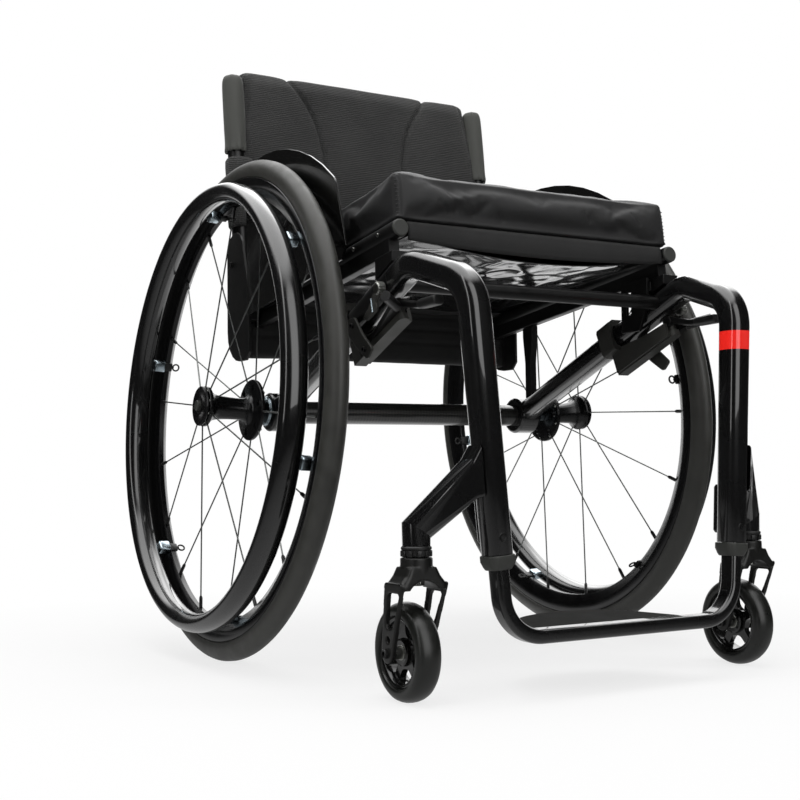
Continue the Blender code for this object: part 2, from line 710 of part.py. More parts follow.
def stem_covers():
    """The toothed ring between the caster housing and the fork."""
    top = HOUSING_BOTTOM_Z - GAP
    bottom = top - STEM_COVER_HEIGHT
    for side, word in SIDES:
        outline = []
        for i in range(COVER_TEETH):
            for share, radius in ((0.0, 1.0), (0.45, 1.0), (0.55, 0.86), (0.90, 0.86)):
                turn = 2 * pi * (i + share) / COVER_TEETH
                outline.append((COVER_RADIUS * radius * cos(turn), COVER_RADIUS * radius * sin(turn)))

        def place(u, v, w, side=side):
            return Vector((side * CASTER_X + u, CASTER_Y + v, w))

        made = add_object(f"stem_cover_{word}", prism(outline, place, bottom, top - 0.0025),
                          black_plastic())
        collar = rod((side * CASTER_X, CASTER_Y, bottom + 0.001), (side * CASTER_X, CASTER_Y, top),
                     COVER_RADIUS * 0.8, 16)
        join(made, collar)
        cut(made, rod((side * CASTER_X, CASTER_Y, bottom - CUT_PAST),
                      (side * CASTER_X, CASTER_Y, top + CUT_PAST), STEM_RADIUS + GAP, 16))


CROWN_TOP_Z = HOUSING_BOTTOM_Z - STEM_COVER_HEIGHT - 2 * GAP


def fork_spread(z):
    """How far a leg's centre is from the middle of the fork."""
    share = (z - CASTER_RADIUS) / (CROWN_BOTTOM_Z - CASTER_RADIUS)
    return FORK_SPREAD_AXLE + (FORK_SPREAD_TOP - FORK_SPREAD_AXLE) * share


def fork_leg(leg):
    """One leg: a plate with a long window, leaning in from the crown to the axle."""
    top, axle = CROWN_BOTTOM_Z + 0.001, CASTER_RADIUS

    def place(u, v, w):
        return Vector((leg * fork_spread(v) + w, u, v))

    half_top, half_axle = FORK_LEG_TOP / 2, FORK_LEG_AXLE / 2
    foot = arc((CASTER_TRAIL, axle), half_axle, pi, 2 * pi, 6)
    outline = [(-half_top, top)] + foot + [(half_top, top)]
    half = FORK_LEG_THICKNESS / 2
    return prism(outline, place, -half, half), place


def fork_window():
    """The long slot between a leg's two struts."""
    top, low = CROWN_BOTTOM_Z - 0.003, CASTER_RADIUS + FORK_LEG_AXLE * 0.9
    share = (low - CASTER_RADIUS) / (top - CASTER_RADIUS)
    middle = CASTER_TRAIL * (1 - share)
    half = (FORK_LEG_AXLE + (FORK_LEG_TOP - FORK_LEG_AXLE) * share) / 2 - FORK_STRUT
    wide = FORK_LEG_TOP / 2 - FORK_STRUT
    return [(-wide, top)] + arc((middle, low), half, pi, 2 * pi, 4) + [(wide, top)]


def casters():
    for side, word in SIDES:
        stem = (side * CASTER_X, CASTER_Y, 0)
        round_size = CROWN_RADIUS * 2
        foot = FORK_SPREAD_TOP * 2 + FORK_LEG_THICKNESS + CROWN_LEDGE * 2
        rings = [[Vector((x, y, z)) for x, y in rounded_rectangle(wide, deep, corner, 4)]
                 for z, wide, deep, corner in (
                     (CROWN_TOP_Z, round_size, round_size, CROWN_RADIUS * 0.999),
                     (CROWN_BOTTOM_Z + CROWN_SHOULDER, round_size, round_size, CROWN_RADIUS * 0.999),
                     (CROWN_BOTTOM_Z, foot, FORK_LEG_TOP + CROWN_LEDGE * 2, 0.004))]
        fork = add_object(f"caster_fork_{word}", loft(rings), gloss_frame_paint(), stem)
        cut(fork, rod((0, -FORK_LEG_TOP, ARCH_Z), (0, FORK_LEG_TOP, ARCH_Z), ARCH_RADIUS, 20))
        join(fork, rod((0, 0, CROWN_TOP_Z - 0.003), (0, 0, HOUSING_TOP_Z - STEM_ROOF - 2 * RUNNING),
                       STEM_RADIUS, 16))
        for leg in (-1, 1):
            plate, place = fork_leg(leg)
            join(fork, plate)
            cut(fork, prism(fork_window(), place, -FORK_LEG_THICKNESS, FORK_LEG_THICKNESS))
        bolt = bmesh.new()
        reach = FORK_SPREAD_AXLE + FORK_LEG_THICKNESS / 2
        for leg in (-1, 1):
            rod((leg * (reach - 0.001), CASTER_TRAIL, CASTER_RADIUS),
                (leg * (reach + 0.003), CASTER_TRAIL, CASTER_RADIUS), CASTER_BOLT_RADIUS * 1.7, 12,
                into=bolt)
        join(fork, bolt)
        join(fork, rod((-reach, CASTER_TRAIL, CASTER_RADIUS), (reach, CASTER_TRAIL, CASTER_RADIUS),
                       CASTER_BOLT_RADIUS, 12))
        caster_wheel(word, (side * CASTER_X, CASTER_Y + CASTER_TRAIL, CASTER_RADIUS))


def caster_wheel(word, centre):
    half, seat = CASTER_WIDTH / 2, CASTER_RIM_RADIUS + GAP
    flank = [(seat, -half * 0.8), (seat + 0.004, -half), (CASTER_RADIUS - 0.006, -half * 0.92),
             (CASTER_RADIUS - 0.0015, -half * 0.6), (CASTER_RADIUS, -half * 0.25)]
    profile = flank + [(radius, -along) for radius, along in reversed(flank)]
    add_object(f"caster_tyre_{word}", revolve(profile, CASTER_STEPS), tyre_rubber(), centre)

    wide, wall = half * 0.78, CASTER_RIM_RADIUS - CASTER_RIM_WALL
    rim = [(wall, -wide), (CASTER_RIM_RADIUS, -wide), (CASTER_RIM_RADIUS, wide), (wall, wide)]
    made = add_object(f"caster_hub_{word}", revolve(rim, CASTER_STEPS), black_plastic(), centre)
    boss = fork_spread(CASTER_RADIUS - FORK_LEG_AXLE / 2) - FORK_LEG_THICKNESS / 2 - RUNNING
    join(made, rod((-CASTER_BOSS_LENGTH / 2, 0, 0), (CASTER_BOSS_LENGTH / 2, 0, 0),
                   CASTER_BOSS_RADIUS, 16))
    join(made, rod((-boss, 0, 0), (boss, 0, 0), CASTER_SPACER_RADIUS, 12))
    spokes = bmesh.new()
    for i in range(CASTER_SPOKES):
        turn = 2 * pi * i / CASTER_SPOKES + pi / 2

        def place(u, v, w, turn=turn):
            return Vector((w, u * cos(turn) - v * sin(turn), u * sin(turn) + v * cos(turn)))

        outline = [(CASTER_BOSS_RADIUS - 0.003, -0.0028), (wall + 0.001, -0.0060),
                   (wall + 0.001, 0.0060), (CASTER_BOSS_RADIUS - 0.003, 0.0028)]
        prism(outline, place, -half * 0.42, half * 0.42, into=spokes)
    join(made, spokes)
    cut(made, rod((-half * 2, 0, 0), (half * 2, 0, 0), CASTER_BOLT_RADIUS + GAP, 12))


def footrest():
    top_z = FRONT_TUBE_END_Z + SOCKET_DEPTH - 0.006
    top_x, top_y = front_line(top_z)
    corners = [(-top_x, top_y, top_z), (-FOOT_X, FOOT_Y, FOOT_Z), (FOOT_X, FOOT_Y, FOOT_Z),
               (top_x, top_y, top_z)]
    path = filleted(corners, (FOOT_BEND, FOOT_BEND), 6)
    section = rounded_rectangle(LEG_DEPTH, LEG_WIDTH, LEG_CORNER)
    add_object("footrest_tube", sweep(path, section, Y_AXIS), gloss_frame_paint())

    for side, word in SIDES:
        high, low = FRONT_TUBE_END_Z - GAP, FRONT_TUBE_END_Z - COLLAR_HEIGHT
        stations = ((high, 1.0), (FRONT_TUBE_END_Z - COLLAR_STRAIGHT, 1.0), (low, COLLAR_TAPER))
        path = [Vector((side * front_line(z)[0], front_line(z)[1], z)) for z, share in stations]
        sections = [rounded_rectangle(COLLAR_WIDTH * share, COLLAR_WIDTH * share, FRAME_CORNER)
                    for z, share in stations]
        made = add_object(f"footrest_collar_{word}", sweep(path, sections, X_AXIS), black_plastic())
        ends = [high + CUT_PAST, low - CUT_PAST]
        hole = [Vector((side * front_line(z)[0], front_line(z)[1], z)) for z in ends]
        section = rounded_rectangle(LEG_WIDTH + 2 * GAP, LEG_DEPTH + 2 * GAP, LEG_CORNER)
        cut(made, sweep(hole, section, X_AXIS))


def plate_outline(inset):
    """A tray that is straight along the bar and bowed towards the heels, with round corners."""
    front = FOOT_Y + LEG_DEPTH / 2 + GAP + inset
    rear = FOOT_Y + LEG_DEPTH / 2 + GAP + PLATE_DEPTH - inset
    half = PLATE_WIDTH / 2 - inset
    near, far, bow = PLATE_FRONT_ROUND, PLATE_REAR_ROUND - inset, PLATE_REAR_BOW - inset
    rise = sqrt((bow - far) ** 2 - (half - far) ** 2)
    meet = atan2(rise, half - far)
    right = arc((half - near, front + near), near, radians(-90), 0, 2)
    right += arc((half - far, rear - bow + rise), far, 0, meet, 4)
    right += arc((0, rear - bow), bow, meet, pi / 2, 4)[1:]
    return right + [(-x, y) for x, y in reversed(right[:-1])]


def footplate():
    """A shallow tray fixed behind the foot tube."""
    def place(u, v, w):
        return Vector((u, v, w))

    bottom = PLATE_TOP_Z - PLATE_RIM
    made = add_object("footplate", prism(plate_outline(0), place, bottom, PLATE_TOP_Z),
                      black_plastic())
    cut(made, prism(plate_outline(PLATE_RIM_WIDTH), place, bottom + PLATE_THICKNESS,
                    PLATE_TOP_Z + CUT_PAST))


def seat_rails():
    along = Vector((0, cos(SEAT_SLOPE), -sin(SEAT_SLOPE)))
    for side, word in SIDES:
        front = Vector((side * RAIL_X, RAIL_FRONT_Y, RAIL_FRONT_Z))
        length = (RAIL_REAR_Y - RAIL_FRONT_Y) / cos(SEAT_SLOPE)
        made = add_object(f"seat_rail_{word}", rod(front, front + along * length, RAIL_RADIUS, 20),
                          satin_black_metal())
        start = front + along * RAIL_FLANGE_SETBACK
        flange = [start, front + along * (length - 0.002)]
        drop = RAIL_RADIUS + RAIL_FLANGE_HEIGHT
        section = rounded_rectangle(RAIL_FLANGE_WIDTH, drop, 0.002, 2, (0, drop / 2))
        join(made, sweep(flange, section, X_AXIS))
        plug = -along
        cap = revolve([(0, GAP), (RAIL_RADIUS - 0.0002, GAP),
                       (RAIL_RADIUS - 0.0002, END_CAP_THICKNESS * 0.7),
                       (RAIL_RADIUS - 0.0015, END_CAP_THICKNESS), (0, END_CAP_THICKNESS)], 20, front,
                      plug, closed=False)
        add_object(f"rail_end_cap_{word}", cap, black_plastic())


def seat_brackets():
    """The block and slotted plate that carry the front of each rail, and the rear post."""
    for side, word in SIDES:
        def tube_top(y):
            return diagonal_z(y) + diagonal_size(y) / 2 / cos(DIAGONAL_SLOPE)

        def place(u, v, w, side=side):
            return Vector((side * (RAIL_X + w), u, v))

        front, rear = SEAT_BLOCK_FRONT_Y, SEAT_BLOCK_REAR_Y
        outline = [(front, tube_top(front) + RUNNING), (rear, tube_top(rear) + RUNNING),
                   (rear, rail_bottom_z(rear) - GAP), (front, rail_bottom_z(front) - GAP)]
        half = SEAT_BLOCK_WIDTH / 2
        made = add_object(f"front_seat_bracket_{word}", prism(outline, place, -half, half),
                          satin_black_metal())
        outer = -(RAIL_X - SIDE_X + FRAME_TUBE / 2 + GAP)
        inner = outer - SLOT_PLATE_THICKNESS
        lip = rail_bottom_z(SLOT_PLATE_REAR_Y) + 0.006
        low = diagonal_z(SLOT_PLATE_REAR_Y) - 0.008
        start = CROSS_TUBE_Y + CROSS_TUBE_RADIUS + 2 * RUNNING
        outline = [(start, tube_top(start) - 0.010), (rear, low), (SLOT_PLATE_REAR_Y, low),
                   (SLOT_PLATE_REAR_Y, lip), (start, lip)]
        join(made, prism(outline, place, inner, outer))
        bridge = [(start + 0.001, tube_top(start) + 0.004), (rear - 0.002, tube_top(rear) + 0.004),
                  (rear - 0.002, rail_bottom_z(rear) - 0.002),
                  (start + 0.001, rail_bottom_z(rear) - 0.002)]
        join(made, prism(bridge, place, inner + 0.001, -half + 0.002))
        middle, high = (rear + SLOT_PLATE_REAR_Y) / 2 + 0.002, lip - 0.014
        slot = [(middle - 0.004, low + 0.020), (middle + 0.004, low + 0.020),
                (middle + 0.004, high), (middle - 0.004, high)]
        cut(made, prism(slot, place, inner - CUT_PAST, outer + CUT_PAST))

        thick = REAR_POST_THICKNESS / 2
        foot, head = REAR_POST_FOOT / 2, REAR_POST_HEAD / 2
        y = REAR_POST_Y
        neck = tube_top(y) + 0.045
        outline = [(y + foot, tube_top(y + foot) + RUNNING), (y + foot, neck),
                   (y + head, rail_bottom_z(y + head) - 0.012), (y + head, rail_bottom_z(y + head) - GAP),
                   (y - head, rail_bottom_z(y - head) - GAP), (y - head, rail_bottom_z(y - head) - 0.012),
                   (y - foot, neck), (y - foot, tube_top(y - foot) + RUNNING)]
        add_object(f"rear_seat_post_{word}", prism(outline, place, -thick, thick), satin_black_metal())


def sling_and_cushion():
    half = RAIL_X - RAIL_RADIUS - GAP
    count = 10
    rings = []
    for y in (RAIL_FRONT_Y + 0.004, SLING_REAR_Y):
        upper, lower = [], []
        for i in range(count + 1):
            x = -half + 2 * half * i / count
            sag = SLING_EDGE + SLING_DROOP * (1 - (x / half) ** 2)
            upper.append(Vector((x, y, rail_z(y) + (CUSHION_SEAT - GAP) / cos(SEAT_SLOPE))))
            lower.append(Vector((x, y, rail_z(y) - sag)))
        rings.append(upper + lower[::-1])
    add_object("seat_sling", loft(rings), black_cloth())

    along = Vector((0, cos(SEAT_SLOPE), -sin(SEAT_SLOPE)))
    up = Vector((0, sin(SEAT_SLOPE), cos(SEAT_SLOPE)))
    corner = Vector((0, RAIL_FRONT_Y, RAIL_FRONT_Z)) + up * CUSHION_SEAT
    length = (CUSHION_REAR_Y - RAIL_FRONT_Y) / cos(SEAT_SLOPE)
    base = ((-1, 0), (1, 0), (1, length), (-1, length))
    rings = [[corner + X_AXIS * CUSHION_HALF_WIDTH * a + along * b + up * c for a, b in base]
             for c in (0, CUSHION_THICKNESS)]
    made = add_object("seat_cushion", loft(rings), black_cloth())
    edges = made.modifiers.new("soft_edges", "BEVEL")
    edges.width = CUSHION_ROUND
    edges.segments = 3


def back_point(z, back=0.0):
    """A point on the leaning line of the posts, at a height, and moved backwards from it."""
    return HINGE_Y + (z - HINGE_Z) * tan(BACK_LEAN) + back


def backrest():
    hinge = (0, HINGE_Y, HINGE_Z)
    lean = Vector((0, sin(BACK_LEAN), cos(BACK_LEAN)))
    for side, word in SIDES:
        base = Vector((side * POST_X, 0, 0))
        low, high = base - lean * POST_BELOW_HINGE, base + lean * (POST_TOP_Z - HINGE_Z) / lean.z
        made = add_object(f"back_post_{word}", rod(low, high, POST_RADIUS, 20), satin_black_metal(),
                          hinge)
        cut(made, rod((side * (POST_X - POST_RADIUS * 2), 0, 0), (side * (POST_X + POST_RADIUS * 2), 0, 0),
                      HINGE_PIN_RADIUS + GAP, 16))
        low = base + lean * (PAD_BOTTOM_Z - HINGE_Z) / lean.z
        high = base + lean * (PAD_TOP_Z - HINGE_Z) / lean.z
        length = (high - low).length
        profile = [(0, 0), (PAD_RADIUS - 0.002, 0), (PAD_RADIUS, 0.003), (PAD_RADIUS, length - 0.005),
                   (PAD_RADIUS - 0.004, length), (0, length)]
        pad = add_object(f"post_pad_{word}", revolve(profile, 16, low, lean, closed=False),
                         grey_foam_cover(), hinge)
        cut(pad, rod(low - lean * CUT_PAST, base + lean * ((POST_TOP_Z - HINGE_Z) / lean.z + GAP),
                     POST_RADIUS + GAP, 20))

    outline = rounded_rectangle(PANEL_HALF_WIDTH * 2, PANEL_THICKNESS, 0.012)
    middle = PANEL_THICKNESS / 2 - PANEL_FRONT_SET
    rings = [[Vector((x, back_point(z) - HINGE_Y + middle + y, z - HINGE_Z)) for x, y in outline]
             for z in (PANEL_BOTTOM_Z, PANEL_TOP_Z)]
    made = add_object("back_upholstery", loft(rings), black_cloth(), hinge)
    edges = made.modifiers.new("soft_edges", "BEVEL")
    edges.width = 0.004
    edges.limit_method = "ANGLE"
    edges.segments = 2
    for side in (RIGHT, LEFT):
        base = Vector((side * POST_X, 0, 0))
        low, high = [base + lean * (z - HINGE_Z) / lean.z for z in (SLEEVE_BOTTOM_Z, SLEEVE_TOP_Z)]
        depth = 2 * (POST_RADIUS + SLEEVE_WALL)
        width = depth / 2 + POST_X - PANEL_HALF_WIDTH + SLEEVE_SEAM
        section = rounded_rectangle(width, depth, depth * 0.4, 3, (side * (depth - width) / 2, 0))
        join(made, sweep([low, high], section, X_AXIS))
        cut(made, rod(low - lean * CUT_PAST, high + lean * CUT_PAST, POST_RADIUS + GAP, 20))

    rear = PANEL_THICKNESS - PANEL_FRONT_SET + BACK_BAR_RADIUS + RUNNING
    y, z = back_point(BACK_BAR_Z) - HINGE_Y, BACK_BAR_Z - HINGE_Z
    half = POST_X + POST_RADIUS * 0.3
    bend, end = POST_X - POST_RADIUS * 0.7, y + POST_RADIUS + BACK_BAR_RADIUS * 0.6
    path = filleted([(-half, end, z), (-bend, y + rear, z), (bend, y + rear, z), (half, end, z)],
                    (BACK_BAR_BEND, BACK_BAR_BEND), 4)
    section = [(BACK_BAR_RADIUS * cos(t * pi / 6), BACK_BAR_RADIUS * sin(t * pi / 6)) for t in range(12)]
    bar = sweep(path, section, Z_AXIS)
    made = add_object("back_bar", bar, satin_black_metal(), hinge)
    for side in (RIGHT, LEFT):
        low = Vector((side * POST_X, 0, 0)) + lean * (z - BACK_BAR_RADIUS * 3) / lean.z
        high = Vector((side * POST_X, 0, 0)) + lean * (z + BACK_BAR_RADIUS * 3) / lean.z
        cut(made, rod(low, high, POST_RADIUS + GAP, 20))


def back_hinge_brackets():
    """The side plate on the rail's rear end, and the pin that the post turns on."""
    for side, word in SIDES:
        inner = POST_X + POST_RADIUS + RUNNING

        def place(u, v, w, side=side):
            return Vector((side * w, u, v))

        rear = HINGE_Y + 0.014
        head = arc((HINGE_Y - 0.012, BRACKET_TOP_Z - 0.026), 0.026, 0, pi, 7)
        heel = arc((rear - 0.040, BRACKET_BOTTOM_Z + 0.040), 0.040, radians(-90), 0, 5)
        outline = heel + head + [(BRACKET_FRONT_Y, rail_z(BRACKET_FRONT_Y) + 0.016),
                                 (BRACKET_FRONT_Y, BRACKET_BOTTOM_Z + 0.010),
                                 (BRACKET_FRONT_Y + 0.010, BRACKET_BOTTOM_Z)]
        made = add_object(f"back_hinge_bracket_{word}",
                          prism(outline, place, inner, inner + BRACKET_THICKNESS), satin_black_metal())
        start, end = BRACKET_FRONT_Y + 0.001, RAIL_REAR_Y - 0.001
        foot = [(start, rail_z(start) + 0.009), (start, rail_z(start) - 0.018),
                (end, rail_z(end) - 0.018), (end, rail_z(end) + 0.009)]
        join(made, prism(foot, place, RAIL_X + RAIL_RADIUS + GAP, inner + 0.001))
        join(made, rod((side * (POST_X - POST_RADIUS), HINGE_Y, HINGE_Z),
                       (side * (inner + BRACKET_THICKNESS + 0.002), HINGE_Y, HINGE_Z),
                       HINGE_PIN_RADIUS, 16))


def rear_flap():
    """The cloth-covered panel between the side plates that closes the gap behind the seat."""
    def place(u, v, w):
        return Vector((u, w, v))

    wide = POST_X + POST_RADIUS + RUNNING - GAP
    narrow = RAIL_X - RAIL_RADIUS - RUNNING
    shelf = rail_bottom_z(FLAP_FRONT_Y + FLAP_THICKNESS) - RUNNING
    right = [(wide, FLAP_BOTTOM_Z + 0.004), (wide, shelf), (narrow, shelf), (narrow, FLAP_TOP_Z)]
    outline = right + [(-x, z) for x, z in reversed(right)]
    made = add_object("rear_flap", prism(outline, place, FLAP_FRONT_Y, FLAP_FRONT_Y + FLAP_THICKNESS),
                      black_cloth())
    edges = made.modifiers.new("soft_edges", "BEVEL")
    edges.width = 0.003
    edges.segments = 2


def sideguards():
    """Thin clothing guards that follow the tyre, on two lugs from the rail."""
    for side, word in SIDES:
        def place(u, v, w, side=side):
            return Vector((side * w, u, v))

        start, end, slant = radians(80), radians(128), radians(165)
        crown = arc((GUARD_CENTRE_Y, AXLE_Z), GUARD_RADIUS, start, end, 8)
        inset = GUARD_RADIUS - GUARD_CORNER
        corner = (GUARD_CENTRE_Y + inset * cos(end), AXLE_Z + inset * sin(end))
        front = arc(corner, GUARD_CORNER, end, slant, 3)[1:]
        outline = [(GUARD_REAR_Y, rail_z(GUARD_REAR_Y) - 0.014)] + crown + front + [
            (GUARD_FRONT_Y, rail_z(GUARD_FRONT_Y)), (GUARD_FRONT_Y + 0.012, rail_z(GUARD_FRONT_Y) - 0.014)]
        half = GUARD_THICKNESS / 2
        made = add_object(f"sideguard_{word}", prism(outline, place, GUARD_X - half, GUARD_X + half),
                          black_plastic())
        reach = RAIL_X + RAIL_RADIUS + GAP
        for y in GUARD_LUG_Y:
            rear = y + GUARD_LUG_LENGTH
            lug = [(y, rail_z(y) - 0.008), (rear, rail_z(rear) - 0.008), (rear, rail_z(rear) + 0.006),
                   (y, rail_z(y) + 0.006)]
            join(made, prism(lug, place, reach, GUARD_X))


def brake_frame(side):
    """Axes on the diagonal tube: forwards along it, outwards, and square to it upwards."""
    origin = Vector((side * SIDE_X, BRAKE_CLAMP_Y, diagonal_z(BRAKE_CLAMP_Y)))
    forward = Vector((0, -cos(DIAGONAL_SLOPE), sin(DIAGONAL_SLOPE)))
    square = Vector((0, sin(DIAGONAL_SLOPE), cos(DIAGONAL_SLOPE)))

    def place(along, out, up):
        return origin + forward * along + X_AXIS * side * out + square * up

    return place


def brakes():
    for side, word in SIDES:
        place = brake_frame(side)
        tube = diagonal_size(BRAKE_CLAMP_Y)
        outer = tube / 2 + BRAKE_CLAMP_WALL
        half = BRAKE_CLAMP_LENGTH / 2
        outline = rounded_rectangle(outer * 2, outer * 2, FRAME_CORNER * 0.7)
        rings = [[place(a, u, v) for u, v in outline] for a in (-half, half)]
        made = add_object(f"brake_mount_{word}", loft(rings), satin_black_metal())
        hole = rounded_rectangle(tube + 4 * GAP, tube + 4 * GAP, FRAME_CORNER)
        cut(made, loft([[place(a, u, v) for u, v in hole] for a in (-half - CUT_PAST, half + CUT_PAST)]))

        def bar(u, v, w):
            return place(u, v, -w)

        thick = BRAKE_BODY_WIDTH / 2
        low = BRAKE_BODY_DROP + BRAKE_BODY_HEIGHT
        inside = half - 0.001
        rear = -inside * 0.5
        post = [(rear, thick), (rear, -thick), (inside, -thick), (inside, thick)]
        join(made, prism(post, bar, outer - 0.002, low - 0.001))
        outline = [(-half * 0.6, thick * 0.9), (-half * 0.6, -thick * 0.9)]
        outline += arc((LEVER_PIVOT, 0), thick * 0.8, -pi / 2, pi / 2, 6)
        join(made, prism(outline, bar, BRAKE_BODY_DROP, low))

        def upright(u, v, w):
            return place(u, BRAKE_WEB_OUT + w, -v)

        web = [(-inside * 0.4, outer - 0.003), (inside * 1.4, outer - 0.003),
               (LEVER_PIVOT * 0.62, BRAKE_WEB_TOP), (LEVER_PIVOT, BRAKE_WEB_TOP + 0.003),
               (LEVER_PIVOT, low - 0.0015), (-inside * 0.4, low - 0.0015)]
        join(made, prism(web, upright, -BRAKE_WEB_THICKNESS / 2, BRAKE_WEB_THICKNESS / 2))
        lug = [(-inside * 0.7, -outer + 0.002), (-inside * 0.7, -outer - BRAKE_LUG_RISE * 0.6),
               (-inside * 0.3, -outer - BRAKE_LUG_RISE), (inside * 0.7, -outer - BRAKE_LUG_RISE),
               (inside * 0.7, -outer + 0.002)]
        join(made, prism(lug, upright, BRAKE_WEB_THICKNESS * 0.6, -BRAKE_WEB_OUT * 2))
        stool = LEVER_DROP + LEVER_HEIGHT + GAP
        pins = bmesh.new()
        for spot, high in ((SHOE_PIVOT, BRAKE_BODY_DROP - GAP - SHOE_ARM_HEIGHT - 0.002),
                           (LEVER_PIVOT, LEVER_DROP - 0.002)):
            rod(place(spot, 0, -low + 0.002), place(spot, 0, -high), BRAKE_PIN_RADIUS, 12, into=pins)
        join(made, pins)
        join(made, rod(place(LEVER_PIVOT, 0, -low + 0.001), place(LEVER_PIVOT, 0, -stool),
                       BRAKE_STOOL_RADIUS, 12))
        brake_lever(word, place)
        brake_shoe(word, place)


def brake_lever(word, place):
    """The flat head on its pin, and the handle that dips away from the tube."""
    pivot = place(LEVER_PIVOT, 0, -LEVER_DROP)

    def flat(u, v, w):
        return place(LEVER_PIVOT + u, v, -LEVER_DROP - w) - pivot

    wide = LEVER_WIDTH / 2
    neck = LEVER_LENGTH * 0.25
    outline = arc((0, 0), wide + 0.001, pi / 2, 3 * pi / 2, 6) + [(neck, -wide), (neck, wide)]
    made = add_object(f"brake_lever_{word}", prism(outline, flat, 0, LEVER_HEIGHT),
                      satin_black_metal(), pivot)
    middle, bend = LEVER_HEIGHT / 2, LEVER_LENGTH * 0.18
    path = [flat(neck * 0.5, 0, middle), flat(bend, 0, middle),
            flat(LEVER_LENGTH, 0, middle + (LEVER_LENGTH - bend) * tan(LEVER_DIP))]
    section = rounded_rectangle(LEVER_WIDTH * 0.9, LEVER_HEIGHT * 0.9, 0.003)
    join(made, sweep(path, section, X_AXIS))
    cut(made, rod(flat(0, 0, -CUT_PAST), flat(0, 0, LEVER_HEIGHT + CUT_PAST),
                  BRAKE_PIN_RADIUS + GAP, 12))


def brake_shoe(word, place):
    """The arm that swings the shoe rod out and back, until it lies across the tread."""
    bottom = BRAKE_BODY_DROP - GAP
    pivot = place(SHOE_PIVOT, 0, -bottom)
    rest = SHOE_REST_ANGLE

    def turned(u, v, w):
        along, out = u * cos(rest) - v * sin(rest), u * sin(rest) + v * cos(rest)
        return place(SHOE_PIVOT + along, out, w - bottom) - pivot

    wide, far = SHOE_ARM_WIDTH / 2, SHOE_ARM_LENGTH
    outline = arc((0, 0), wide, pi / 2, 3 * pi / 2, 5) + arc((far, 0), wide * 0.75, -pi / 2, pi / 2, 5)
    made = add_object(f"brake_shoe_{word}", prism(outline, turned, 0, SHOE_ARM_HEIGHT),
                      satin_black_metal(), pivot)
    across = pi / 2 - rest - SHOE_SWING
    tip, heading = Vector((far, 0)), Vector((cos(across), sin(across)))
    inner, outer = tip - heading * 0.004, tip + heading * (SHOE_LENGTH - 0.004)
    middle = SHOE_ARM_HEIGHT / 2
    join(made, rod(turned(*inner, middle), turned(*outer, middle), SHOE_RADIUS, 14))
    cut(made, rod(turned(0, 0, -CUT_PAST), turned(0, 0, SHOE_ARM_HEIGHT + CUT_PAST),
                  BRAKE_PIN_RADIUS + GAP, 12))


def build():
    clear_scene()
    rear_wheels()
    side_frames()
    cross_tubes()
    caster_arms()
    stem_covers()
    casters()
    footrest()
    footplate()
    seat_rails()
    seat_brackets()
    sling_and_cushion()
    backrest()
    back_hinge_brackets()
    rear_flap()
    sideguards()
    brakes()


build()
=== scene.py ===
"""The looks of the rigid active wheelchair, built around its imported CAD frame.

Metres, +Z up. The chair faces -Y, stands on z = 0 and is centred on x = 0. The user's right is -X.
"""

import bmesh
import bpy
import json
from math import atan2, cos, exp, hypot, pi, radians, sin, tan
from mathutils import Matrix, Vector, noise

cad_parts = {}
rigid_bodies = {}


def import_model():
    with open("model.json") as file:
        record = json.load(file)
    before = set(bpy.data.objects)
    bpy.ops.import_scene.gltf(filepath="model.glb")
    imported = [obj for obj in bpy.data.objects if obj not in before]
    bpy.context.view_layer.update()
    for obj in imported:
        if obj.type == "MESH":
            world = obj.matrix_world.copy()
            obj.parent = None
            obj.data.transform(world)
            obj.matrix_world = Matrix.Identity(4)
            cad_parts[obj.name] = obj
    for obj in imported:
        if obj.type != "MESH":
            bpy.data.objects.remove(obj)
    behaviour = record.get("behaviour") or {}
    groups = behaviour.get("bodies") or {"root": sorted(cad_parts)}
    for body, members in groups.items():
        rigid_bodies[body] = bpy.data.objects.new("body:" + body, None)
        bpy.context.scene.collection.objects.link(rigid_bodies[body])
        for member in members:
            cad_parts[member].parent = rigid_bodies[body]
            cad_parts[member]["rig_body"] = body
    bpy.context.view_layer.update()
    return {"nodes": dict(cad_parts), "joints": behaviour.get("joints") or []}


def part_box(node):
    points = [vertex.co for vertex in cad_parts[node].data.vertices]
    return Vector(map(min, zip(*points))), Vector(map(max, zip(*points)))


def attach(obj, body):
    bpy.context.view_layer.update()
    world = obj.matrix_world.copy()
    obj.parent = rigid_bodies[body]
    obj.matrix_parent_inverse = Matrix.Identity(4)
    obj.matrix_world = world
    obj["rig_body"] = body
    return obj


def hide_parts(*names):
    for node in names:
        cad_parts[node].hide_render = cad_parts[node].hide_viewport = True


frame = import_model()

SIDES = ((-1, "right"), (1, "left"))
JOINTS = {joint["name"]: joint for joint in frame["joints"]}
AXLE_Y = JOINTS["rear_wheel_spin_left"]["pos_m"][1]
X_AXIS, Y_AXIS, Z_AXIS = Vector((1, 0, 0)), Vector((0, 1, 0)), Vector((0, 0, 1))
MM = 0.001


def at(x, y, z):
    """A point whose y is measured from the rear axle's line."""
    return Vector((x, y + AXLE_Y, z))


# Finishes

def linear(code):
    """The linear colour of an sRGB hex code."""
    parts = [int(code[i:i + 2], 16) / 255 for i in (1, 3, 5)]
    return tuple(c / 12.92 if c <= 0.04045 else ((c + 0.055) / 1.055) ** 2.4 for c in parts) + (1.0,)


def add(finish, kind, inputs=None, **settings):
    """Adds a node, with its settings, and its inputs set or linked."""
    made = finish.node_tree.nodes.new(kind)
    for name, value in settings.items():
        setattr(made, name, value)
    for name, value in (inputs or {}).items():
        if isinstance(value, bpy.types.NodeSocket):
            finish.node_tree.links.new(value, made.inputs[name])
        else:
            made.inputs[name].default_value = value
    return made


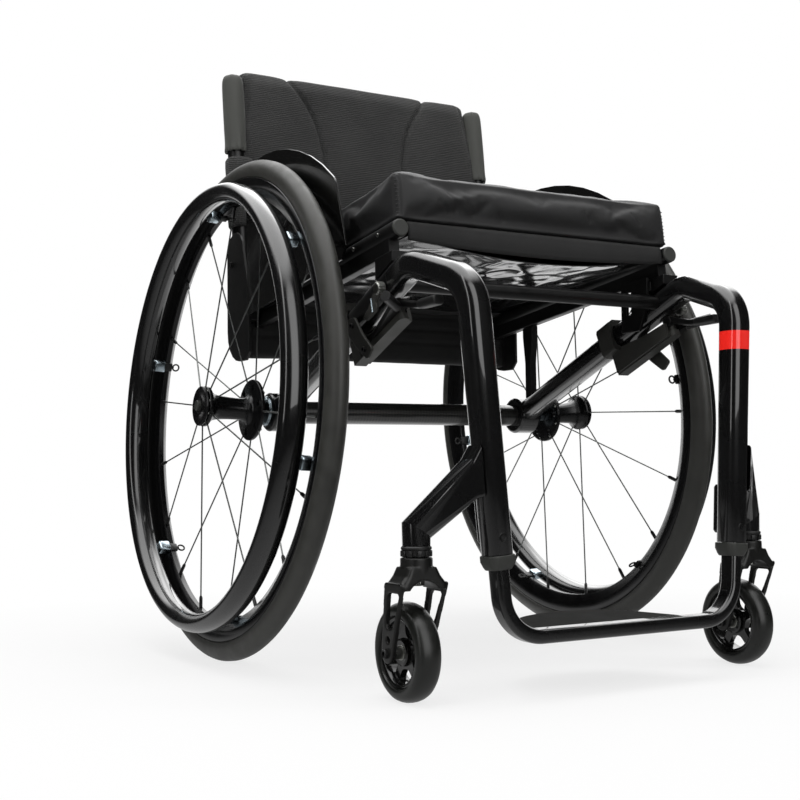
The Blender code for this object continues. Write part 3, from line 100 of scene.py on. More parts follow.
def new_finish(name, colour, roughness, **sockets):
    made = bpy.data.materials.new(name)
    made.use_nodes = True
    shader = made.node_tree.nodes["Principled BSDF"]
    shader.inputs["Base Color"].default_value = linear(colour)
    shader.inputs["Roughness"].default_value = roughness
    for socket, value in sockets.items():
        shader.inputs[socket.replace("_", " ")].default_value = value
    return made, shader


def connect(finish, output, shader, socket):
    finish.node_tree.links.new(output, shader.inputs[socket])


def uneven(finish, shader, tones, roughness, patch, grain, depth):
    """Tone and gloss that drift over patches, and a fine grain. Patch, grain and depth are in millimetres."""
    place = add(finish, "ShaderNodeTexCoord").outputs["Object"]
    drift = add(finish, "ShaderNodeTexNoise", {"Vector": place, "Scale": 1000 / patch, "Detail": 3.0})
    tone = add(finish, "ShaderNodeMix", {0: drift.outputs[0], 6: linear(tones[0]), 7: linear(tones[1])},
               data_type="RGBA")
    connect(finish, tone.outputs[2], shader, "Base Color")
    gloss = add(finish, "ShaderNodeMapRange", {"Value": drift.outputs[0], "From Min": 0.3, "From Max": 0.7,
                                               "To Min": roughness[0], "To Max": roughness[1]})
    connect(finish, gloss.outputs[0], shader, "Roughness")
    grains = add(finish, "ShaderNodeTexNoise", {"Vector": place, "Scale": 1000 / grain, "Detail": 2.0})
    bump = add(finish, "ShaderNodeBump", {"Height": grains.outputs[0], "Distance": depth * MM,
                                          "Strength": 1.0})
    connect(finish, bump.outputs[0], shader, "Normal")
    return tone, bump


def powder_coat(name, band=None):
    """Gloss black powder coat over aluminium: deep black, with a faint orange peel that bends highlights."""
    made, shader = new_finish(name, "#0a0a0b", 0.16, Coat_Weight=1.0, Coat_Roughness=0.05, Coat_IOR=1.6,
                              Specular_IOR_Level=0.25)
    tone, bump = uneven(made, shader, ("#090909", "#0e0e0f"), (0.22, 0.32), 70, 9.0, 0.012)
    if band:
        place = add(made, "ShaderNodeTexCoord").outputs["Object"]
        parts = add(made, "ShaderNodeSeparateXYZ", {0: place})
        over = add(made, "ShaderNodeMath", {0: parts.outputs["Z"], 1: band[0]}, operation="GREATER_THAN")
        under = add(made, "ShaderNodeMath", {0: parts.outputs["Z"], 1: band[1]}, operation="LESS_THAN")
        front = add(made, "ShaderNodeMath", {0: parts.outputs["Y"], 1: band[2]}, operation="LESS_THAN")
        height = add(made, "ShaderNodeMath", {0: over.outputs[0], 1: under.outputs[0]}, operation="MULTIPLY")
        inside = add(made, "ShaderNodeMath", {0: height.outputs[0], 1: front.outputs[0]}, operation="MULTIPLY")
        painted = add(made, "ShaderNodeMix", {0: inside.outputs[0], 6: tone.outputs[2], 7: linear("#fa2a22")},
                      data_type="RGBA")
        connect(made, painted.outputs[2], shader, "Base Color")
    return made


def anodised(name, tones=("#141415", "#1c1c1d"), roughness=(0.30, 0.42)):
    """Black anodised aluminium: dark metal with a fine blasted grain, drawn coarser than real to show."""
    made, shader = new_finish(name, tones[0], roughness[0], Metallic=0.3)
    uneven(made, shader, tones, roughness, 25, 0.9, 0.0035)
    return made


def steel(name, tones, roughness):
    """Turned steel: bright metal with slight streaks of polish."""
    made, shader = new_finish(name, tones[0], roughness[0], Metallic=1.0)
    uneven(made, shader, tones, roughness, 6, 1.6, 0.003)
    return made


def moulded(name, tones, roughness, grain=0.8, depth=0.03, **sockets):
    """Injection-moulded plastic: a fine spark-eroded texture that softens highlights."""
    made, shader = new_finish(name, tones[0], roughness[0], **sockets)
    uneven(made, shader, tones, roughness, 20, grain, depth)
    return made


def tyre_rubber(name):
    """Grey-black vulcanised rubber: dull, dusty in patches, with a fine moulded grain."""
    made, shader = new_finish(name, "#1c1c1b", 0.6)
    uneven(made, shader, ("#242422", "#373734"), (0.40, 0.56), 16, 1.4, 0.03)
    return made


def cast_polyurethane(name):
    """Cast polyurethane: a caster tread that is smooth, nearly black and half glossy."""
    made, shader = new_finish(name, "#151614", 0.35)
    uneven(made, shader, ("#121311", "#1b1c1a"), (0.26, 0.38), 12, 2.0, 0.008)
    return made


def carbon_twill(name):
    """Lacquered 2x2 carbon twill, 3 mm tows: small dark squares in steps under a clear coat."""
    made, shader = new_finish(name, "#1a1a19", 0.32, Coat_Weight=0.9, Coat_Roughness=0.06)
    place = add(made, "ShaderNodeTexCoord").outputs["Object"]
    parts = add(made, "ShaderNodeSeparateXYZ", {0: place})
    around = add(made, "ShaderNodeMath", {0: parts.outputs["Z"], 1: parts.outputs["Y"]}, operation="ADD")
    slant = add(made, "ShaderNodeCombineXYZ", {0: parts.outputs["X"], 1: around.outputs[0], 2: 0.0})
    turned = add(made, "ShaderNodeMapping", {"Vector": slant.outputs[0], "Rotation": (0, 0, pi / 4)})
    tows = add(made, "ShaderNodeTexChecker", {"Vector": turned.outputs[0], "Scale": 1000 / 3.0,
                                              "Color1": linear("#0c0c0c"), "Color2": linear("#2d2d2a")})
    cloudy = add(made, "ShaderNodeTexNoise", {"Vector": place, "Scale": 1000 / 14, "Detail": 4.0,
                                              "Distortion": 1.5})
    tone = add(made, "ShaderNodeMix", {0: cloudy.outputs[0], 6: tows.outputs["Color"], 7: linear("#0a0a0a")},
               data_type="RGBA")
    connect(made, tone.outputs[2], shader, "Base Color")
    return made


def ribbed_mesh(name):
    """Warp-knitted spacer mesh: rows of ribs 2.6 mm apart, crossed by fine wales, dull and soft."""
    made, shader = new_finish(name, "#3a3a39", 0.9, Sheen_Weight=0.08, Sheen_Roughness=0.6)
    place = add(made, "ShaderNodeTexCoord").outputs["Object"]
    ribs = add(made, "ShaderNodeTexWave", {"Vector": place, "Scale": 0.314 / 0.0026, "Distortion": 1.2,
                                           "Detail": 1.0, "Detail Scale": 0.4}, bands_direction="Z")
    wales = add(made, "ShaderNodeTexWave", {"Vector": place, "Scale": 0.314 / 0.0018, "Distortion": 0.5},
                bands_direction="X")
    knit = add(made, "ShaderNodeMath", {0: wales.outputs["Fac"], 1: 0.4, 2: ribs.outputs["Fac"]},
               operation="MULTIPLY_ADD")
    patches = add(made, "ShaderNodeTexNoise", {"Vector": place, "Scale": 1000 / 60, "Detail": 4.0})
    mixed = add(made, "ShaderNodeMath", {0: patches.outputs[0], 1: knit.outputs[0]}, operation="MULTIPLY")
    tone = add(made, "ShaderNodeMix", {0: mixed.outputs[0], 6: linear("#161616"), 7: linear("#3a3a39")},
               data_type="RGBA")
    connect(made, tone.outputs[2], shader, "Base Color")
    bump = add(made, "ShaderNodeBump", {"Height": knit.outputs[0], "Distance": 0.5 * MM, "Strength": 0.8})
    connect(made, bump.outputs[0], shader, "Normal")
    return made


def coated_cloth(name, tones, roughness, thread=1.2, depth=0.05, **sockets):
    """Tight plain weave with a thin coating. The real threads are 0.4 mm apart, and are drawn wider to show."""
    made, shader = new_finish(name, tones[0], roughness[0], **sockets)
    tone, grain = uneven(made, shader, tones, roughness, 45, 2.5, 0.05)
    place = add(made, "ShaderNodeTexCoord").outputs["Object"]
    warp = add(made, "ShaderNodeTexWave", {"Vector": place, "Scale": 314 / thread, "Distortion": 0.3},
               bands_direction="X")
    weft = add(made, "ShaderNodeTexWave", {"Vector": place, "Scale": 314 / thread, "Distortion": 0.3},
               bands_direction="Z")
    weave = add(made, "ShaderNodeMath", {0: warp.outputs["Fac"], 1: weft.outputs["Fac"]}, operation="MULTIPLY")
    bump = add(made, "ShaderNodeBump", {"Height": weave.outputs[0], "Distance": depth * MM, "Strength": 0.6,
                                        "Normal": grain.outputs[0]})
    connect(made, bump.outputs[0], shader, "Normal")
    return made


RED_BAND = (0.342, 0.362, -0.32)
frame_paint = powder_coat("gloss_black_powder_coat")
banded_paint = powder_coat("gloss_black_powder_coat_red_band", RED_BAND)
black_anodised = anodised("black_anodised_aluminium", ("#0e0e0e", "#151515"))
rim_anodised = anodised("black_anodised_rim", ("#0b0b0c", "#101011"), (0.18, 0.26))
fork_coat = anodised("satin_black_cast_aluminium", ("#141413", "#1c1c1b"), (0.30, 0.42))
chrome = steel("chromed_steel", ("#9fb0ba", "#c9d4da"), (0.16, 0.28))
plain_steel = steel("zinc_plated_steel", ("#8f908c", "#b4b5b0"), (0.25, 0.4))
spoke_steel = steel("stainless_spoke_wire", ("#6b6d6c", "#8b8d8b"), (0.35, 0.45))
nylon = moulded("moulded_black_nylon", ("#0f0f0f", "#171717"), (0.40, 0.52), 0.8, 0.008)
grey_nylon = moulded("moulded_grey_nylon", ("#282927", "#323330"), (0.46, 0.58), 0.8, 0.008)
gloss_plastic = moulded("gloss_black_polycarbonate", ("#090909", "#0e0e0d"), (0.12, 0.2), 4.0, 0.008,
                        Coat_Weight=0.4, Coat_Roughness=0.08)
rubber = tyre_rubber("vulcanised_tyre_rubber")
caster_rubber = cast_polyurethane("cast_polyurethane_tread")
carbon = carbon_twill("lacquered_carbon_twill")
mesh_cloth = ribbed_mesh("black_spacer_mesh")
cushion_cloth = coated_cloth("coated_black_cushion_cover", ("#131314", "#1a1a1a"), (0.55, 0.68),
                             Sheen_Weight=0.04, Sheen_Roughness=0.4)
pad_cloth = coated_cloth("grey_neoprene_cover", ("#353633", "#42433f"), (0.62, 0.75), Sheen_Weight=0.12,
                         Sheen_Roughness=0.5)
sling_cloth = coated_cloth("coated_black_sling_nylon", ("#101011", "#181819"), (0.10, 0.18), 1.5, 0.004,
                           Coat_Weight=0.7, Coat_Roughness=0.08)
well_mat = moulded("ribbed_black_rubber_mat", ("#1b1b1a", "#242423"), (0.85, 0.95), 1.2, 0.02, Specular_IOR_Level=0.1)
blasted_grey = anodised("bead_blasted_grey_aluminium", ("#2a2a28", "#373734"), (0.42, 0.55))
hem_cloth = coated_cloth("black_webbing_hem", ("#151515", "#1d1d1d"), (0.7, 0.85), 1.6, 0.12)
thread = coated_cloth("dark_grey_sewing_thread", ("#262626", "#303030"), (0.6, 0.7))


# Shapes

def outline(bm, width, depth, corner, steps=5):
    """The edges of a rounded rectangle around the origin, its width along X and its depth along Y."""
    made = bmesh.ops.create_grid(bm, x_segments=1, y_segments=1, size=0.5)["verts"]
    bmesh.ops.scale(bm, vec=(width, depth, 1), verts=made)
    made = bmesh.ops.bevel(bm, geom=made, offset=corner, offset_type="OFFSET", affect="VERTICES",
                           segments=steps, profile=0.5, material=-1)["verts"]
    face = made[0].link_faces[0]
    edges = list(face.edges)
    bmesh.ops.delete(bm, geom=[face], context="FACES_ONLY")
    return edges


def stations(path, across, sizes=None):
    """A matrix for each point of a path, with X across it and Z along it, scaled by its size."""
    made = []
    for i, point in enumerate(path):
        before, after = path[max(i - 1, 0)], path[min(i + 1, len(path) - 1)]
        along = ((point - before).normalized() + (after - point).normalized()).normalized()
        side = (across - across.dot(along) * along).normalized()
        turn = Matrix((side, along.cross(side), along)).transposed().to_4x4()
        wide, deep = sizes[i] if sizes else (1, 1)
        made.append(Matrix.Translation(point) @ turn @ Matrix.Diagonal((wide, deep, 1, 1)))
    return made


def sweep(bm, edges, places, capped=True):
    """Draws a ring of edges out through the places."""
    first = list(edges)
    bmesh.ops.transform(bm, matrix=places[0], verts=list({v for e in edges for v in e.verts}))
    for before, after in zip(places, places[1:]):
        grown = bmesh.ops.extrude_edge_only(bm, edges=edges)["geom"]
        verts = [part for part in grown if isinstance(part, bmesh.types.BMVert)]
        edges = [part for part in grown if isinstance(part, bmesh.types.BMEdge)]
        bmesh.ops.transform(bm, matrix=after @ before.inverted(), verts=verts)
    if capped:
        bmesh.ops.contextual_create(bm, geom=first)
        bmesh.ops.contextual_create(bm, geom=edges)


def filleted(points, radii, steps=12):
    """A path through the points, with an arc of each radius at each inner point."""
    path = [points[0]]
    for before, corner, after, radius in zip(points, points[1:], points[2:], radii):
        into, out = (corner - before).normalized(), (after - corner).normalized()
        turn = into.angle(out)
        inward = (out - into * out.dot(into)).normalized()
        centre = corner - into * radius * tan(turn / 2) + inward * radius
        for k in range(steps + 1):
            angle = turn * k / steps
            path.append(centre + into * radius * sin(angle) - inward * radius * cos(angle))
    return path + [points[-1]]


def lathe(bm, profile, steps, place=Matrix(), closed=False):
    """Turns a profile of (radius, distance along X) points around X."""
    old = set(bm.verts)
    verts = [bm.verts.new((along, 0, radius)) for radius, along in profile]
    edges = [bm.edges.new(pair) for pair in zip(verts, verts[1:])]
    if closed:
        edges.append(bm.edges.new((verts[-1], verts[0])))
    bmesh.ops.spin(bm, geom=verts + edges, cent=(0, 0, 0), axis=(1, 0, 0), angle=2 * pi, steps=steps,
                   use_merge=True)
    bmesh.ops.remove_doubles(bm, verts=[v for v in bm.verts if v not in old], dist=1e-6)
    bmesh.ops.transform(bm, matrix=place, verts=[v for v in bm.verts if v not in old])
    return bm


def hoop(bm, radius, offset, height, width, sides, steps):
    """A ring around X with an oval section."""
    old = set(bm.verts)
    made = bmesh.ops.create_circle(bm, cap_ends=False, segments=sides, radius=0.5)["verts"]
    bmesh.ops.scale(bm, vec=(width, height, 1), verts=made)
    bmesh.ops.rotate(bm, cent=(0, 0, 0), matrix=Matrix.Rotation(pi / 2, 3, "X"), verts=made)
    bmesh.ops.translate(bm, vec=(offset, 0, radius), verts=made)
    edges = list({e for v in made for e in v.link_edges})
    bmesh.ops.spin(bm, geom=made + edges, cent=(0, 0, 0), axis=(1, 0, 0), angle=2 * pi, steps=steps,
                   use_merge=True)
    return [v for v in bm.verts if v not in old]


def rod(bm, start, end, radius, sides=12, end_radius=None):
    along = end - start
    place = Matrix.Translation((start + end) / 2) @ along.to_track_quat("Z", "X").to_matrix().to_4x4()
    bmesh.ops.create_cone(bm, cap_ends=True, segments=sides, radius1=radius,
                          radius2=radius if end_radius is None else end_radius, depth=along.length,
                          matrix=place)


def facing(point, direction):
    """A place whose X axis points along a direction."""
    return Matrix.Translation(point) @ direction.to_track_quat("X", "Z").to_matrix().to_4x4()


def block(bm, place, size, corner=0.0, steps=2):
    """A box with rounded edges."""
    made = bmesh.ops.create_cube(bm, size=1)["verts"]
    bmesh.ops.scale(bm, vec=size, verts=made)
    if corner:
        edges = list({e for v in made for e in v.link_edges})
        made = bmesh.ops.bevel(bm, geom=edges, offset=corner, offset_type="OFFSET", affect="EDGES",
                               segments=steps, profile=0.5, material=-1)["verts"]
    bmesh.ops.transform(bm, matrix=place, verts=made)


def piece(name, bm, finish, body, replaces=(), place=None, sharp=35, edge=0.0):
    """A finished piece from a bmesh, on its body, with softened edges where asked."""
    if place:
        bmesh.ops.transform(bm, matrix=place, verts=bm.verts)
    bmesh.ops.remove_doubles(bm, verts=bm.verts, dist=1e-6)
    bmesh.ops.recalc_face_normals(bm, faces=bm.faces)
    mesh = bpy.data.meshes.new(name)
    bm.to_mesh(mesh)
    bm.free()
    mesh.materials.append(finish)
    mesh.shade_smooth()
    mesh.set_sharp_from_angle(angle=radians(sharp))
    made = bpy.data.objects.new(name, mesh)
    bpy.context.scene.collection.objects.link(made)
    if edge:
        soft = made.modifiers.new("soft_edges", "BEVEL")
        soft.width = edge
        soft.segments = 2
        soft.limit_method = "ANGLE"
        soft.angle_limit = radians(sharp)
        made.modifiers.new("even_shading", "WEIGHTED_NORMAL").keep_sharp = True
    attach(made, body)
    if replaces:
        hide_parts(*replaces)
    return made


def refined(node, finish, edge=0.0008):
    """A CAD node's own shape with its facets merged and its edges rounded. It stands for the node."""
    source = frame["nodes"][node]
    bm = bmesh.new()
    bm.from_mesh(source.data)
    bmesh.ops.remove_doubles(bm, verts=bm.verts, dist=1e-5)
    bmesh.ops.dissolve_limit(bm, angle_limit=radians(1), verts=bm.verts, edges=bm.edges)
    return piece(f"{node}_finished", bm, finish, source["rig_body"], [node], edge=edge)


def settled(made):
    """Makes the result of the modifiers the piece's own mesh."""
    view = bpy.context.evaluated_depsgraph_get()
    mesh = bpy.data.meshes.new_from_object(made.evaluated_get(view), depsgraph=view)
    made.modifiers.clear()
    old, made.data = made.data, mesh
    bpy.data.meshes.remove(old)
    return made


# Rear wheels

RIM_SEAT, RIM_INNER = 0.2715, 0.2485
HANDRIM_RADIUS, HANDRIM_OFFSET = 0.252, 0.0336
HANDRIM_SECTION = (0.0224, 0.030)
SPOKES = 18
SPOKE_PHASE = {"right": radians(15), "left": radians(-2)}
TAB_PHASE = {"right": radians(44), "left": radians(7)}
INNER_FLANGE, OUTER_FLANGE = (0.0368, -0.0265), (0.0238, 0.0325)
TYRE_SECTION = [(0.0, -9.4), (2.2, -10.0), (3.2, -11.4), (6.0, -12.1), (9.0, -12.25), (12.0, -11.9),
                (15.0, -11.0), (18.0, -9.3), (20.6, -6.9), (22.4, -4.4), (23.3, -2.2)]


def wheel_place(side, word):
    centre = Vector(JOINTS[f"rear_wheel_spin_{word}"]["pos_m"])
    axis = JOINTS[f"rear_wheel_spin_{word}"]["axis"]
    turn = Matrix.Rotation(-atan2(axis[2], axis[0]), 4, "Y")
    return Matrix.Translation(centre) @ turn @ Matrix.Diagonal((side, 1, 1, 1))


def around(angle, radius, along):
    """A point of the wheel, turned from the rear upwards."""
    return Vector((along, -radius * cos(angle), radius * sin(angle)))


def tyre_and_rim(word, place):
    body = f"rear_wheel_{word}"
    half = [(RIM_SEAT + 0.0003 + rise * MM, along * MM) for rise, along in TYRE_SECTION]
    profile = half + [(radius, -along) for radius, along in reversed(half)]
    piece(f"slick_tyre_{word}", lathe(bmesh.new(), profile, 192, closed=True), rubber, body,
          [f"rear_tyre_{word}"], place)
    lip = [(RIM_SEAT - 0.0005, -0.0088), (RIM_SEAT + 0.0014, -0.0098), (RIM_SEAT + 0.0018, -0.0106),
           (RIM_SEAT + 0.0012, -0.0113), (RIM_SEAT - 0.0006, -0.0115), (RIM_SEAT - 0.0080, -0.0112),
           (RIM_SEAT - 0.0105, -0.0103), (RIM_INNER + 0.0068, -0.0066), (RIM_INNER + 0.0020, -0.0043),
           (RIM_INNER + 0.0004, -0.0028)]
    profile = lip + [(radius, -along) for radius, along in reversed(lip)]
    piece(f"deep_rim_{word}", lathe(bmesh.new(), profile, 192, closed=True), rim_anodised, body,
          [f"wheel_rim_{word}"], place)


def spokes_and_nipples(word, place):
    """Eighteen straight spokes, radial from the two flanges in turn, with long nipples under the rim."""
    wires, nipples, heads = bmesh.new(), bmesh.new(), bmesh.new()
    for i in range(SPOKES):
        angle = SPOKE_PHASE[word] + 2 * pi * i / SPOKES
        radius, along = INNER_FLANGE if i % 2 else OUTER_FLANGE
        start, end = around(angle, radius - 0.003, along), around(angle, RIM_INNER + 0.0005, 0)
        heading = (end - start).normalized()
        rod(wires, start, end - heading * 0.010, 0.0009, 8)
        rod(nipples, end - heading * 0.0150, end - heading * 0.0125, 0.0013, 12, 0.0021)
        rod(nipples, end - heading * 0.0125, end, 0.0021, 12)
        outwards = 1 if i % 2 == 0 else -1
        face = around(angle, radius - 0.003, along + outwards * 0.0030)
        lathe(heads, [(0, 0.0012), (0.0012, 0.0009), (0.0019, 0), (0.0019, -0.001), (0, -0.001)], 10,
              facing(face, X_AXIS * outwards))
    body = f"rear_wheel_{word}"
    piece(f"spokes_{word}", wires, spoke_steel, body, place=place)
    piece(f"spoke_nipples_{word}", nipples, nylon, body, place=place)
    piece(f"spoke_heads_{word}", heads, plain_steel, body, place=place)


def hub(word, place):
    """Two flanges on a waisted barrel. The inner flange is drilled for lightness."""
    profile = [(0.0069, -0.029), (0.0352, -0.029), (0.0364, -0.0285), (0.0368, -0.0275), (0.0368, -0.0250),
               (0.0362, -0.0243), (0.0350, -0.0240), (0.0200, -0.0236), (0.0168, -0.0220),
               (0.0145, -0.0185), (0.0132, -0.0140), (0.0130, -0.0080), (0.0133, 0.0040), (0.0142, 0.0160),
               (0.0160, 0.0235), (0.0188, 0.0272), (0.0222, 0.0296), (0.0234, 0.0304), (0.0238, 0.0314),
               (0.0238, 0.0340), (0.0232, 0.0347), (0.0196, 0.0350), (0.0196, 0.0361), (0.0232, 0.0365),
               (0.0236, 0.0374), (0.0232, 0.0392), (0.0222, 0.0400), (0.0125, 0.0402), (0.0115, 0.0396),
               (0.0088, 0.0396), (0.0078, 0.0402), (0.0069, 0.0400)]
    holes = bmesh.new()
    for i in range(6):
        spot = around(SPOKE_PHASE[word] + 2 * pi * i / 6, 0.0272, -0.0265)
        rod(holes, spot - X_AXIS * 0.01, spot + X_AXIS * 0.004, 0.0036, 20)
    made = piece(f"hub_shell_{word}", lathe(bmesh.new(), profile, 64, closed=True), rim_anodised,
                 f"rear_wheel_{word}", [f"wheel_hub_{word}"], place)
    drilled(made, holes, place)
    button = lathe(bmesh.new(), [(0, 0.0362), (0.0063, 0.0362), (0.0063, 0.0430), (0.0058, 0.0436),
                                 (0.0040, 0.0437), (0.0034, 0.0434), (0, 0.0433)], 40)
    piece(f"axle_button_{word}_cap", button, grey_nylon, f"axle_button_{word}", [f"release_button_{word}"],
          place)


def drilled(made, cutter, place=None):
    """Cuts a shape out of a finished piece."""
    if place:
        bmesh.ops.transform(cutter, matrix=place, verts=cutter.verts)
    bmesh.ops.recalc_face_normals(cutter, faces=cutter.faces)
    mesh = bpy.data.meshes.new("cutter")
    cutter.to_mesh(mesh)
    cutter.free()
    tool = bpy.data.objects.new("cutter", mesh)
    bpy.context.scene.collection.objects.link(tool)
    step = made.modifiers.new("cut", "BOOLEAN")
    step.operation = "DIFFERENCE"
    step.solver = "EXACT"
    step.object = tool
    bpy.context.view_layer.update()
    settled(made)
    made.data.shade_smooth()
    made.data.set_sharp_from_angle(angle=radians(35))
    bpy.data.objects.remove(tool)
    bpy.data.meshes.remove(mesh)


def handrim_and_tabs(word, place):
    """An oval hoop on six tabs, each with a chromed spacer, a bracket and a ring bolt behind the rim."""
    body = f"rear_wheel_{word}"
    ring = bmesh.new()
    hoop(ring, HANDRIM_RADIUS, HANDRIM_OFFSET, *HANDRIM_SECTION, 28, 192)
    piece(f"oval_handrim_{word}", ring, frame_paint, body, [f"handrim_{word}"],
          place)
    spacers, brackets = bmesh.new(), bmesh.new()
    reach = RIM_INNER + 0.0005
    for i in range(6):
        turn = Matrix.Rotation(-(TAB_PHASE[word] + 2 * pi * i / 6) + pi / 2, 4, "X")
        block(spacers, turn @ Matrix.Translation((0.0115, 0, reach)), (0.0150, 0.0150, 0.0120), 0.0030, 3)
        block(brackets, turn @ Matrix.Translation((0.0212, 0, reach + 0.0012)), (0.0062, 0.0120, 0.0066), 0.0015)
        block(brackets, turn @ Matrix.Translation((-0.0012, 0, reach - 0.0002)), (0.0105, 0.0115, 0.0040), 0.0014)
        lathe(brackets, [(0, -0.0085), (0.0018, -0.0085), (0.0018, 0.020), (0, 0.020)], 12,
              turn @ Matrix.Translation((0, 0, reach)))
        eye = [(0.0043 + 0.0011 * cos(pi * k / 4), 0.0011 * sin(pi * k / 4)) for k in range(8)]
        spot = turn @ Matrix.Translation((-0.0118, 0, reach)) @ Matrix.Rotation(pi / 2, 4, "Y")
        lathe(brackets, eye, 24, spot, closed=True)
    piece(f"tab_spacers_{word}", spacers, chrome, body, place=place)
    piece(f"tab_brackets_{word}", brackets, nylon, body, place=place)


for side, word in SIDES:
    local = wheel_place(side, word)
    tyre_and_rim(word, local)
    spokes_and_nipples(word, local)
    hub(word, local)
    handrim_and_tabs(word, local)
    refined(f"camber_plug_{word}", chrome, 0.0005)
    refined(f"axle_pin_{word}", plain_steel, 0.0003)


# Frame

SIDE_X, CLAMP_WIDTH, CLAMP_RADIUS = 0.180, 0.030, 0.0235
FRAME_TUBE, FRAME_TUBE_END, FRAME_CORNER = 0.029, 0.027, 0.0108
SHOULDER, KNEE, FOOT = (0.180, -0.330, 0.424), (0.1675, -0.4170, 0.395), (0.1415, -0.4247, 0.0604)
SHOULDER_RADIUS, KNEE_RADIUS = 0.045, 0.040
TUBE_END_Z = 0.1385
clamp_low, clamp_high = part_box("axle_tube")
AXLE_TUBE_Z = (clamp_low.z + clamp_high.z) / 2


def on_front_tube(z):
    """The middle of a front tube at a height, as (distance from the middle of the chair, y from the axle)."""
    share = (z - FOOT[2]) / (KNEE[2] - FOOT[2])
    return FOOT[0] + (KNEE[0] - FOOT[0]) * share, FOOT[1] + (KNEE[1] - FOOT[1]) * share


def side_frame(side, word):
    end_x, end_y = on_front_tube(TUBE_END_Z)
    corners = [at(side * SIDE_X, 0, AXLE_TUBE_Z), at(side * SHOULDER[0], *SHOULDER[1:]),
               at(side * KNEE[0], *KNEE[1:]), at(side * end_x, end_y, TUBE_END_Z)]
    path = filleted(corners, (SHOULDER_RADIUS, KNEE_RADIUS))
    ends = FRAME_TUBE_END / FRAME_TUBE
    sizes = [(ends, ends)] + [(1, 1)] * (len(path) - 2) + [(ends, ends)]
    bm = bmesh.new()
    sweep(bm, outline(bm, FRAME_TUBE, FRAME_TUBE, FRAME_CORNER, 7), stations(path, X_AXIS, sizes))
    made = piece(f"formed_tube_{word}", bm, banded_paint if side > 0 else frame_paint, "frame",
                 [f"side_frame_{word}"], edge=0.0006)
    socket = bmesh.new()
    hole = [at(side * on_front_tube(z)[0], on_front_tube(z)[1], z) for z in (TUBE_END_Z + 0.06, TUBE_END_Z - 0.01)]
    sweep(socket, outline(socket, 0.0146, 0.0206, 0.0045), stations(hole, X_AXIS))
    settled(made)
    drilled(made, socket)
    clamp = bmesh.new()
    half = CLAMP_WIDTH / 2
    profile = [(0.0115, -half), (CLAMP_RADIUS - 0.0025, -half), (CLAMP_RADIUS, -half + 0.0025),
               (CLAMP_RADIUS, half - 0.0025), (CLAMP_RADIUS - 0.0025, half), (0.0115, half)]
    lathe(clamp, profile, 64, Matrix.Translation(at(side * SIDE_X, 0, AXLE_TUBE_Z)), closed=True)
    piece(f"axle_clamp_{word}", clamp, frame_paint, "frame", edge=0.0008)
    screws_of_clamp(side, word)
    rib_and_screw(side, word)


def screws_of_clamp(side, word):
    """The two socket screws that pinch the clamp."""
    bm = bmesh.new()
    for out in (-0.008, 0.008):
        spot = at(side * SIDE_X + out, 0.0185, AXLE_TUBE_Z - 0.0135)
        socket_screw(bm, facing(spot, Vector((0, 0.45, -0.9))), 0.0036)
    piece(f"clamp_screws_{word}", bm, plain_steel, "frame")


def plate(bm, corners, thickness, place=Matrix()):
    """A flat plate square to X, from (y, z, rounding) corners."""
    old = set(bm.verts)
    verts = [bm.verts.new((-thickness / 2, y, z)) for y, z, _ in corners]
    bm.faces.new(verts)
    for vert, (_, _, rounding) in zip(verts, corners):
        if rounding:
            bmesh.ops.bevel(bm, geom=[vert], offset=rounding, offset_type="OFFSET", affect="VERTICES", segments=6,
                            profile=0.5, material=-1)
    edges = list({e for v in bm.verts if v not in old for e in v.link_edges})
    grown = bmesh.ops.extrude_edge_only(bm, edges=edges)["geom"]
    far = [part for part in grown if isinstance(part, bmesh.types.BMVert)]
    bmesh.ops.translate(bm, vec=(thickness, 0, 0), verts=far)
    bmesh.ops.contextual_create(bm, geom=[part for part in grown if isinstance(part, bmesh.types.BMEdge)])
    made = [v for v in bm.verts if v not in old]
    bmesh.ops.transform(bm, matrix=place, verts=made)
    return made


def blank(bm):
    """A rough shape, to be cut and then melted into a casting."""
    bmesh.ops.recalc_face_normals(bm, faces=bm.faces)
    mesh = bpy.data.meshes.new("blank")
    bm.to_mesh(mesh)
    bm.free()
    made = bpy.data.objects.new("blank", mesh)
    bpy.context.scene.collection.objects.link(made)
    return made


def cast(name, blanks, voxel, passes, finish, body, replaces=()):
    """Melts rough shapes into one body whose edges are softly rounded, as a casting's are."""
    bm = bmesh.new()
    for rough in blanks:
        bm.from_mesh(rough.data)
        mesh = rough.data
        bpy.data.objects.remove(rough)
        bpy.data.meshes.remove(mesh)
    made = piece(name, bm, finish, body, replaces)
    melt = made.modifiers.new("melt", "REMESH")
    melt.mode, melt.voxel_size = "VOXEL", voxel
    rounded = made.modifiers.new("rounded", "SMOOTH")
    rounded.factor, rounded.iterations = 0.5, passes
    settled(made)
    if not made.data.materials:
        made.data.materials.append(finish)
    made.data.shade_smooth()
    return made


def socket_screw(bm, place, radius):
    """A cap screw that faces along X, with a round recess."""
    lathe(bm, [(0, 0.0), (radius * 0.55, 0.0), (radius * 0.55, radius * 0.75), (radius * 0.85, radius * 0.8),
               (radius, radius * 0.6), (radius, -radius * 1.2)], 6 * 4, place)


